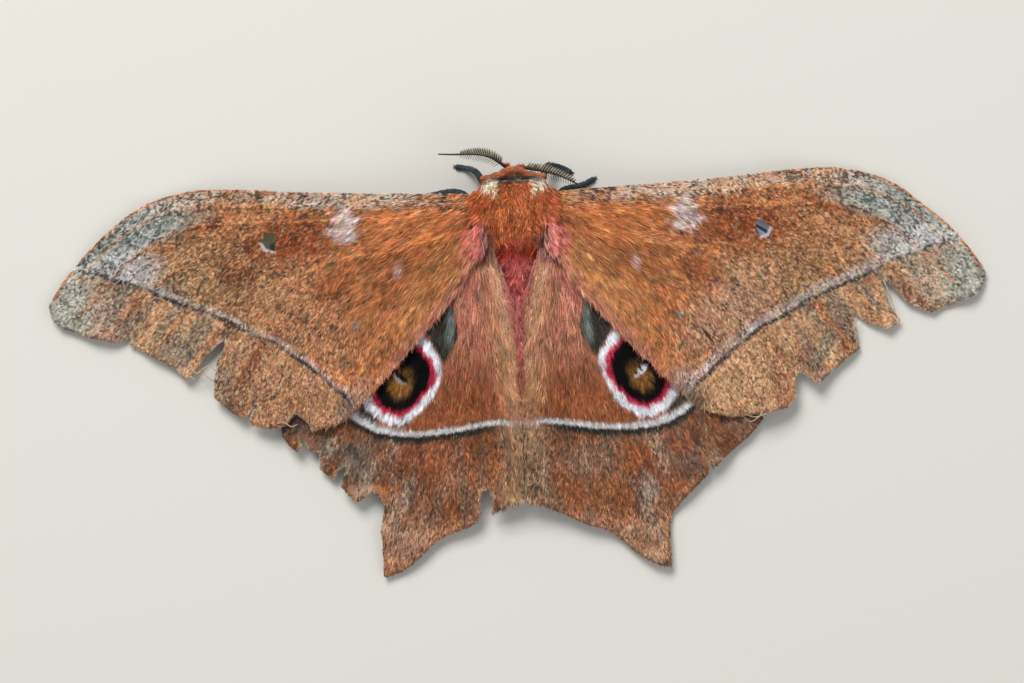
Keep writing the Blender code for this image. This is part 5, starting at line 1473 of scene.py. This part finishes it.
def body_lie(p):
    # Distance along the body and round it
    mid = 5.5 - 1.5 * smooth(-p[:, 1], -13, 10)
    return rows(-p[:, 1], np.arctan2(p[:, 0], p[:, 2] - mid) * 4.5, 3.0)


def body_place(across, y):
    # Place on the unwrap, which covers 30 mm across the body and 42 mm along it
    return rows(0.5 + across / 30.0, (y + 13.0) / 42.0 * 0.94 + 0.02)


def face_and_rim(p):
    # Which places are on the face, and which on the collar's rim
    y, z = p[:, 1], p[:, 2]
    return (y > FACE_BACK) & (z < FACE_TOP), (y > RIM_BACK) & (z > RIM_LOW)


def skin_points(ob, weight, count, rng):
    # Random places on a skin, denser where the weight says
    mesh = ob.data
    mesh.calc_loop_triangles()
    t = np.zeros(len(mesh.loop_triangles) * 3, np.int32)
    mesh.loop_triangles.foreach_get("vertices", t)
    t = t.reshape(-1, 3)
    p, q = MADE["body"]
    a, b, c = (p[t[:, k]] for k in range(3))
    area = np.linalg.norm(np.cross(b - a, c - a), axis=1) / 2
    w = area * weight((a + b + c) / 3, q[t].mean(axis=1))
    i = rng.choice(len(t), count, p=w / w.sum())
    s = np.sqrt(rng.rand(count, 1))
    r = rng.rand(count, 1)
    at = a[i] * (1 - s) + b[i] * s * (1 - r) + c[i] * s * r
    return at, unit(q[t[i]].mean(axis=1))


def body_heading(p):
    # Fur is combed back on the trunk, up and forward on the face and outward on the collar's rim
    x, z = p[:, 0], p[:, 2]
    trunk = rows(0.06 * x, -1.0, -0.12)
    face = rows(0.3 * x, 0.9 * smooth(z, 4.0, 6.0) - 0.2, -0.5)
    rim = rows(0.5 * np.sign(x), 0.35, 0.3)
    on_face, on_rim = (q[:, None] for q in face_and_rim(p))
    return unit(np.where(on_rim, rim, np.where(on_face, face, trunk)))


def fur_tint(col, p, rng):
    n = len(p)
    clump = 0.72 + 0.56 * grain(p[:, 0] * 1.6, p[:, 1] * 0.7, 0.55, 31)
    return np.clip(col * clump[:, None] * varied(rng, 0.2, (n, 1)) * varied(rng, 0.06, (n, 3)), 0, 1)


def body_coat(name, kind, count, seed, long_factor, wide, tall):
    c = body_colours()
    rng = np.random.RandomState(seed)

    def thick(p, q):
        y, z = p[:, 1], p[:, 2]
        face, rim = face_and_rim(p)
        w = np.where(y > 13.5, 2.2, 0.7)
        w = np.where((y > 13.5) & (z > 7.5), 6.0, w)
        w = np.where((y > 5) & (y <= 15.2) & (q[:, 2] > 0.2), 6.0, w)
        w = np.where(face, 4.0, w)
        w = np.where(rim, 7.0 if kind == "scale" else 0.0, w)
        eye = np.linalg.norm(rows(np.abs(p[:, 0]), y, z) - np.array(EYE_PLACE), axis=1)
        return np.where(eye < EYE_RADIUS + 0.1, 0.0, w)

    p, q = skin_points(bpy.data.objects["body_skin"], thick, count, rng)
    n = len(p)
    x, y, z = p.T
    face, rim = face_and_rim(p)
    heading = body_heading(p)
    turn = (grain(x * 1.3, y * 0.8, 0.9, 33) - 0.5) * 1.3 + rng.normal(0, 0.24, n)
    heading = heading * np.cos(turn)[:, None] + np.cross(q, heading) * np.sin(turn)[:, None]
    thorax = smooth(y, 13.2, 14.5)
    cleft = smooth(y, 4.0, 6.0) * fade(y, 14.0, 15.6) * smooth(q[:, 2], 0.1, 0.4)
    front = smooth(y, 23.0, 24.2) * (z > 7.0) * ~rim
    long = (0.85 + thorax * (0.05 + 0.1 * smooth(z, 5, 8)) + 0.6 * cleft) * long_factor
    long = np.where(face, 0.6, np.where(rim, 0.5, long * (1 - 0.3 * front)))
    wide = np.where(face | rim, 0.075, wide)
    tall = np.where(face | rim, 0.12, tall)
    lift = np.where(rim, 0.24, 0.16 + 0.18 * rng.rand(n) + 0.42 * cleft)
    vary = varied(rng, 0.18, n)
    size = rows(long * vary, wide * varied(rng, 0.15, n), tall * vary)
    mid = p + heading * (long * 0.4)[:, None]
    base = np.where(rim[:, None], body_marks(p, q), body_marks(rows(mid[:, 0], mid[:, 1], z), q))
    col = fur_tint(base, p, rng)
    dark = (rng.rand(n) < 0.13 * thorax + 0.06) & ~rim
    soft = (rng.rand(n) < 0.35) & (cleft > 0.5)
    col = np.where(soft[:, None], mix(col, c.rear_tip, 0.4), col)
    col = np.where(dark[:, None], mix(col, c.stroke, 0.65), col)
    lie = body_lie(p)
    ob = coat(name, kind, moth_fur(), p - q * 0.05, heading, q, lift, size, col, lie, body_place(lie[:, 1], y), rng,
              length=moth_sizes().fur_length)
    settle(ob, "thorax_fur")


# Hair over the wing roots on each side: count, inner and outer edge, front and rear end, spread to the side, length
# and tone: covers combed back over the roots, the fan beside them and the pink hair behind
ROOT_HAIR = ((1500, 3.3, 4.75, 23.9, 19.3, 0.18, 1.25, "thorax"), (700, 4.6, 5.5, 23.3, 19.6, 0.75, 1.35, "tuft"),
             (700, 4.5, 5.25, 18.9, 15.1, 0.38, 1.4, "pink"))
TRUNK_MIDDLE, TRUNK_TOP, TRUNK_HALF = 6.15, 10.45, 4.75
GAP_HAIRS, CLEFT_HAIRS, CREST_HAIRS = 440, 420, 20
CREST_PLACES = ((-0.75, 26.75), (1.3, 26.5))


def root_hair(sign, n, x_low, x_high, y_high, y_low, way, long, tone, rng):
    c, wing = body_colours(), wing_colours()
    t = rng.rand(n)
    y = y_high + (y_low - y_high) * t + rng.normal(0, 0.15, n)
    x = x_low + (x_high - x_low) * rng.rand(n)
    bulge = np.clip(1 - (x / TRUNK_HALF) ** TRUNK_POWER, 0.0, 1.0) ** (1 / TRUNK_POWER)
    bulge = (TRUNK_TOP - TRUNK_MIDDLE) * bulge + TRUNK_MIDDLE
    z = np.maximum(wing_top("forewing", x, y) + 0.05, bulge * (y > 19.0)) + 0.3 * rng.rand(n)
    out = rows(sign * (way + rng.normal(0, 0.22, n)), -0.9, -0.1)
    if tone == "pink":
        tint = mix(wing.pink_hair, c.cream, 0.5 * smooth(rng.rand(n), 0.6, 1.0))
        # Painted shade on the pink hair's inner end, next to the body
        tint = mix(tint, c.hollow_shade, fade(x, 4.5, 4.9) * 0.7)
    else:
        tint = np.array(getattr(c, tone)) * (0.85 if tone == "thorax" else 1.0)
        tint = mix(tint, c.stroke, 0.65 * (rng.rand(n) < 0.16))
        tint = mix(tint, wing.pink_hair, smooth(t, 0.8, 1.0) * 0.35)
        tint = mix(tint, c.cream, spot(x, y, "cream_tuft"))
    return rows(sign * x, y, z), out, tint, long * (1 - 0.15 * t)


def gap_hair(sign, rng):
    # Hair that closes the gap under the forewing's inner margin near the body; its violet-grey tint is painted shade of
    # that gap, mixed with some pink
    n = GAP_HAIRS
    hem = MADE["inner"][np.argsort(MADE["inner"][:, 0])]
    x = rng.uniform(3.4, 9.0, n)
    y = np.interp(x, hem[:, 0], hem[:, 1]) + rng.uniform(0.3, 1.6, n)
    low = hindwing_top(x, y)
    gap = np.clip(wing_top("forewing", x, y) - 0.5 - low, 0.2, 2.4)
    out = rows(sign * (0.2 + rng.normal(0, 0.2, n)), -0.5, 0.85)
    tint = mix(body_colours().hollow_shade, wing_colours().pink_hair, rng.rand(n) * 0.6)
    return rows(sign * x, y, low - 0.05), out, tint, gap * 1.05


def cleft_hair(rng):
    # Crimson hair in the cleft between the hindwings
    n = CLEFT_HAIRS
    y = 8.8 - 12.5 * rng.rand(n) ** 1.3
    x = rng.normal(0, 0.15, n)
    z = hindwing_top(x, y) - 0.15 + 0.4 * rng.rand(n)
    tint = mix(np.array(body_colours().crimson) * 0.6, wing_colours().hind_field, smooth(-y, -4, 4) * 0.5)
    return rows(x, y, z), rows(rng.normal(0, 0.12, n), -1.0, 0.1), tint, np.full(n, 1.0)


def crest_hair(px, py, rng):
    # A small orange tuft in front of a feeler's base
    n = CREST_HAIRS
    root = rows(px + rng.normal(0, 0.14, n), py + rng.normal(0, 0.1, n), 6.1 + rng.normal(0, 0.15, n))
    tint = np.tile(np.array(body_colours().thorax) * 0.8, (n, 1))
    return root, rows(rng.normal(0, 0.3, n), 0.7, 0.5), tint, np.full(n, 0.42)


def build_body_fur():
    sizes = moth_sizes()
    body_coat("body_hairs", "scale", sizes.fur_hairs, SEEDS["hairs"], 1.05, 0.092, 0.22)
    body_coat("body_locks", "lock", sizes.fur_locks, SEEDS["locks"], 1.15, 0.14, 0.3)
    rng = np.random.RandomState(SEEDS["tufts"])
    groups = []
    for sign in (-1, 1):
        groups += [root_hair(sign, *row, rng) for row in ROOT_HAIR]
        groups.append(gap_hair(sign, rng))
    groups.append(cleft_hair(rng))
    groups += [crest_hair(px, py, rng) for px, py in CREST_PLACES]
    root, out, tint, long = (np.concatenate(part) for part in zip(*groups))
    n = len(root)
    vary = varied(rng, 0.18, n)
    size = rows(long * vary, 0.14, 0.32 * vary)
    ob = coat("shoulder_tufts", "lock", moth_fur(), root, unit(out), np.tile(UP, (n, 1)), 0.06, size,
              fur_tint(tint, root, rng), body_lie(root), body_place(root[:, 0], root[:, 1]), rng,
              length=sizes.fur_length)
    settle(ob, "thorax_fur")


def eye_lens():
    # Compound eye: thousands of hexagonal lenses of dark glossy chitin, drawn a few times coarser than their 0.03 mm
    mat, tree, shader = new_material("eye_lens")
    place = node(tree, "ShaderNodeTexCoord")
    cells = node(tree, "ShaderNodeTexVoronoi", {"Vector": place.outputs["Object"], "Scale": 9000.0,
                                                "Randomness": 0.15}, feature="DISTANCE_TO_EDGE")
    wall = node(tree, "ShaderNodeMapRange", {"Value": cells.outputs["Distance"], "From Max": 0.12})
    haze = node(tree, "ShaderNodeTexNoise", {"Vector": place.outputs["Object"], "Scale": 1500.0})
    deep, bright = ((*(np.array(body_colours().eye) * k), 1) for k in ((0.5, 0.5, 0.5), (1.8, 1.5, 1.2)))
    tint = node(tree, "ShaderNodeMix", {0: haze.outputs["Fac"], 6: deep, 7: bright}, data_type="RGBA")
    relief = node(tree, "ShaderNodeBump", {"Height": wall.outputs[0], "Strength": 0.5, "Distance": 0.00002})
    finish_shader(tree, shader, {"Base Color": tint.outputs[2], "Normal": relief.outputs[0]}, Roughness=0.3,
                  Specular_IOR_Level=0.35)
    return mat


def feeler_horn(name, tone, pale):
    # Dark chitin rings with tan sensory hair, semi-matt
    mat, tree, shader = new_material(name)
    place = node(tree, "ShaderNodeTexCoord")
    bands = node(tree, "ShaderNodeTexNoise", {"Vector": place.outputs["Object"], "Scale": 5000.0, "Detail": 3.0})
    cut = node(tree, "ShaderNodeMapRange", {"Value": bands.outputs["Fac"], "From Min": 0.42, "From Max": 0.62})
    tint = node(tree, "ShaderNodeMix", {0: cut.outputs[0], 6: (*tone, 1), 7: (*pale, 1)}, data_type="RGBA")
    relief = node(tree, "ShaderNodeBump", {"Height": bands.outputs["Fac"], "Strength": 0.4, "Distance": 0.00003})
    finish_shader(tree, shader, {"Base Color": tint.outputs[2], "Normal": relief.outputs[0]}, Roughness=0.5)
    return mat


def build_eyes():
    mat = eye_lens()
    for name, sign in (("eye_left", -1), ("eye_right", 1)):
        ob = mesh_piece("lens_" + name, *ball_mesh((sign * EYE_PLACE[0], *EYE_PLACE[1:]), (EYE_RADIUS,) * 3, 28, 40))
        outward(ob)
        ob.data.materials.append(mat)
        settle(ob, "eye_lens", name)


# Side rods of the feelers: tone, shift along the segment, rise, and for each side used the way, length and width
ROD_SETS = (("pale", 0.0, 0.26, ((1, 1.0, 0.18),)), ("dark", 0.5, 0.12, ((1, 1.0, 0.18), (-1, 1.15, 0.1))))
FIRST_ROD, LAST_ROD = 0.13, {"left": 0.7, "right": 0.95}
# What the unwrap of a feeler's rods covers: its middle along the body and its span
FEELER_MIDDLE, FEELER_SPAN = 27, 16


def build_feelers():
    c = body_colours()
    segments = moth_sizes().feeler_segments
    mats = {"dark": feeler_horn("feeler_chitin", c.feeler, tuple(k * 1.8 for k in c.feeler)),
            "pale": feeler_horn("feeler_pale_rods", tuple(k * 0.55 for k in c.ramus), c.ramus)}
    rng = np.random.RandomState(SEEDS["feelers"])
    for side, sign in (("left", -1), ("right", 1)):
        line = curve_points(FEELER_LINE[side], 0.2)
        n = len(line)
        radii = (0.26 - 0.16 * np.linspace(0, 1, n)) * (1 + 0.1 * np.cos(np.arange(n) * pi))
        ob = mesh_piece("feeler_" + side, *tube_mesh(line, radii, 12))
        outward(ob)
        ob.data.materials.append(mats["dark"])
        settle(ob, "feeler_horn", "antenna_" + side)
        for tone, shift, tilt, ways in ROD_SETS:
            rods = []
            for k in range(segments):
                s = FIRST_ROD + (LAST_ROD[side] - FIRST_ROD) * (k + shift) / segments
                i = min(n - 2, int(s * (n - 1)))
                at = line[i] + (line[i + 1] - line[i]) * (s * (n - 1) - i)
                ahead = unit(line[i + 1] - line[i])
                out = unit(np.cross(UP, ahead)) * sign
                long = 1.15 * np.sin(pi * min(0.97, 0.17 + 0.75 * s / LAST_ROD[side])) ** 0.6
                rods += [(at, unit(out * way + ahead * 0.5 + UP * tilt), (long * reach, wide, wide))
                         for way, reach, wide in ways]
            roots, heads, spans = (np.array(q) for q in zip(*rods))
            n_rods = len(roots)
            middle = np.array((roots[:, 0].mean(), FEELER_MIDDLE))
            place = 0.5 + (roots[:, :2] - middle) / FEELER_SPAN
            ob = coat("feeler_rods_%s_%s" % (tone, side), "rod", mats[tone], roots, heads, np.tile(UP, (n_rods, 1)),
                      0.0, spans, c.ramus, roots, place, rng, roll=0.05)
            settle(ob, "feeler_horn")


# Where the leg's joints are along its length: end of the thigh and end of the shin
LEG_KNEE, LEG_ANKLE = 0.38, 0.7
LEG_SCALES = 900


def build_legs():
    c = body_colours()
    for k, (name, points) in enumerate(LEG_LINE.items()):
        rng = np.random.RandomState(SEEDS["legs"] + k)
        line = curve_points(points, 0.25)
        n = len(line)
        t = np.linspace(0, 1, n)
        radii = np.where(t < LEG_KNEE, 0.46, np.where(t < LEG_ANKLE, 0.42, 0.34))
        radii = np.convolve(np.pad(radii, 2, mode="edge"), np.ones(5) / 5, mode="valid")
        foot_rings = np.abs(np.sin((t - LEG_ANKLE) / 0.3 * pi * 4)) ** 0.5
        radii = radii * np.where(t > LEG_ANKLE, 0.72 + 0.28 * foot_rings, 1.0)
        radii = radii * (1 - 0.3 * np.exp(-((t - LEG_KNEE) / 0.02) ** 2))
        radii = radii * (1 - 0.25 * np.exp(-((t - LEG_ANKLE) / 0.015) ** 2))
        parts = [tube_mesh(line, radii, 14, 0.02)]
        tip, ahead = line[-1], unit(line[-1] - line[-3])
        side = unit(np.cross(ahead, UP))
        for way in (-1, 1):
            claw = [tip - ahead * 0.1, tip + ahead * 0.22 + side * way * 0.14, tip + ahead * 0.38 + side * way * 0.2]
            claw[1][2], claw[2][2] = 0.2, 0.05
            parts.append(tube_mesh(claw, (0.1, 0.07, 0.02), 6, 0.005))
        ob = mesh_piece("limb_" + name, *joined(parts))
        outward(ob)
        # The leg's skin is darkened as painted shade under its scales
        plain_values(ob.data, np.array(c.leg) * 0.8, 0.35)
        ob.data.materials.append(leg_scales())
        settle(ob, "leg_scales", name)
        f = rng.uniform(0.05, 0.97, LEG_SCALES) * (n - 1)
        i = np.minimum(f.astype(int), n - 2)
        at = line[i] + (line[i + 1] - line[i]) * (f - i)[:, None]
        ahead = unit(line[i + 1] - line[i])
        side = unit(np.cross(ahead, UP))
        a = rng.uniform(0, 2 * pi, LEG_SCALES)
        normal = side * np.cos(a)[:, None] + np.cross(side, ahead) * np.sin(a)[:, None]
        root = at + normal * (radii[i] * 0.95)[:, None]
        root[:, 2] = np.maximum(root[:, 2], 0.1)
        size = rows(rng.uniform(0.25, 0.42, LEG_SCALES), 0.12, 0.1)
        col = np.clip(np.array(c.leg) * varied(rng, 0.25, (LEG_SCALES, 1)), 0, 1)
        place = rows(0.05 + 0.9 * f / n, 0.05 + 0.9 * a / (2 * pi))
        ob = coat("limb_scales_" + name, "scale", leg_scales(), root, ahead, normal, 0.1, size, col, root, place, rng)
        settle(ob, "leg_scales")


def build_stage():
    scene = bpy.context.scene
    s = scene.moth_stage
    corners = [(x * FLOOR_HALF, y * FLOOR_HALF, 0) for x, y in ((-1, -1), (1, -1), (1, 1), (-1, 1))]
    floor = mesh_piece("floor", corners, [(0, 1, 2, 3)])
    mat, tree, shader = new_material("pale_floor")
    finish_shader(tree, shader, {}, Base_Color=(*s.floor, 1), Roughness=0.8)
    floor.data.materials.append(mat)
    for name, place, size in LIGHTS:
        data = bpy.data.lights.new(name, "AREA")
        data.energy = getattr(s, name + "_power")
        data.size = size
        light = bpy.data.objects.new(name, data)
        light.location = place
        light.rotation_euler = (-Vector(place)).to_track_quat("-Z", "Y").to_euler()
        scene.collection.objects.link(light)
    world = bpy.data.worlds.new("even_light")
    world.use_nodes = True
    world.node_tree.nodes["Background"].inputs["Color"].default_value = SKY_COLOUR
    world.node_tree.nodes["Background"].inputs["Strength"].default_value = s.sky
    scene.world = world
    scene.view_settings.view_transform = "Standard"
    data = bpy.data.cameras.new("camera")
    data.lens, data.sensor_width = CAMERA_LENS, CAMERA_SENSOR
    data.clip_start, data.clip_end = CAMERA_CLIP
    camera = bpy.data.objects.new("camera", data)
    camera.location = CAMERA_PLACE
    camera.rotation_euler = (0, 0, radians(CAMERA_TURN))
    scene.collection.objects.link(camera)
    scene.camera = camera


class MOTH_OT_wings(bpy.types.Operator):
    """Builds the skins of the four wings with their veins, tears and pattern"""
    bl_idname = "moth.wings"
    bl_label = "Wing skins"

    def execute(self, context):
        for kind in ("forewing", "hindwing"):
            for side in ("left", "right"):
                build_wing_skin(kind, side)
        return {"FINISHED"}


class MOTH_OT_wing_scales(bpy.types.Operator):
    """Lays the scales, hair and fringes over the wings"""
    bl_idname = "moth.wing_scales"
    bl_label = "Wing scales"

    def execute(self, context):
        for side in ("left", "right"):
            build_wing_coats("forewing", side)
            build_wing_coats("hindwing", side)
            build_torn_strips(side)
        return {"FINISHED"}


class MOTH_OT_body(bpy.types.Operator):
    """Builds the one skin of abdomen, thorax, collar and head"""
    bl_idname = "moth.body"
    bl_label = "Body skin"

    def execute(self, context):
        build_body_skin()
        return {"FINISHED"}


class MOTH_OT_fur(bpy.types.Operator):
    """Grows the fur of the body and the tufts over the wing roots"""
    bl_idname = "moth.fur"
    bl_label = "Body fur"

    def execute(self, context):
        build_body_fur()
        return {"FINISHED"}


class MOTH_OT_eyes(bpy.types.Operator):
    """Sets the compound eyes"""
    bl_idname = "moth.eyes"
    bl_label = "Eyes"

    def execute(self, context):
        build_eyes()
        return {"FINISHED"}


class MOTH_OT_feelers(bpy.types.Operator):
    """Builds the feathered feelers"""
    bl_idname = "moth.feelers"
    bl_label = "Feelers"

    def execute(self, context):
        build_feelers()
        return {"FINISHED"}


class MOTH_OT_legs(bpy.types.Operator):
    """Builds the six scaled legs with their claws"""
    bl_idname = "moth.legs"
    bl_label = "Legs"

    def execute(self, context):
        build_legs()
        return {"FINISHED"}


class MOTH_OT_stage(bpy.types.Operator):
    """Sets the floor, lights and camera"""
    bl_idname = "moth.stage"
    bl_label = "Stage"

    def execute(self, context):
        build_stage()
        return {"FINISHED"}


STEPS = (MOTH_OT_wings, MOTH_OT_wing_scales, MOTH_OT_body, MOTH_OT_fur, MOTH_OT_eyes, MOTH_OT_feelers, MOTH_OT_legs,
         MOTH_OT_stage)


class MOTH_PT_panel(bpy.types.Panel):
    """Sizes, colours and steps of the moth"""
    bl_label = "Moth"
    bl_idname = "MOTH_PT_panel"
    bl_space_type = "VIEW_3D"
    bl_region_type = "UI"
    bl_category = "Moth"

    def draw(self, context):
        scene = context.scene
        for group in (scene.moth_sizes, scene.moth_wing_colours, scene.moth_body_colours, scene.moth_stage):
            box = self.layout.box()
            for key in group.__annotations__:
                box.prop(group, key)
        for step in STEPS:
            self.layout.operator(step.bl_idname)


GROUPS = (("moth_wing_colours", MothWingColours), ("moth_body_colours", MothBodyColours), ("moth_sizes", MothSizes),
          ("moth_stage", MothStage))


def register():
    for name, group in GROUPS:
        bpy.utils.register_class(group)
        setattr(bpy.types.Scene, name, bpy.props.PointerProperty(type=group))
    for step in STEPS + (MOTH_PT_panel,):
        bpy.utils.register_class(step)


def unregister():
    for step in reversed(STEPS + (MOTH_PT_panel,)):
        bpy.utils.unregister_class(step)
    for name, group in reversed(GROUPS):
        delattr(bpy.types.Scene, name)
        bpy.utils.unregister_class(group)


def main():
    register()
    prepare_lines()
    for step in STEPS:
        group, call = step.bl_idname.split(".")
        getattr(getattr(bpy.ops, group), call)()
    for kind in ("scale", "lock", "rod"):
        group = MADE[("tufts", kind)]
        for ob in list(group.objects):
            bpy.data.objects.remove(ob)
        bpy.data.collections.remove(group)


if __name__ == "__main__":
    main()
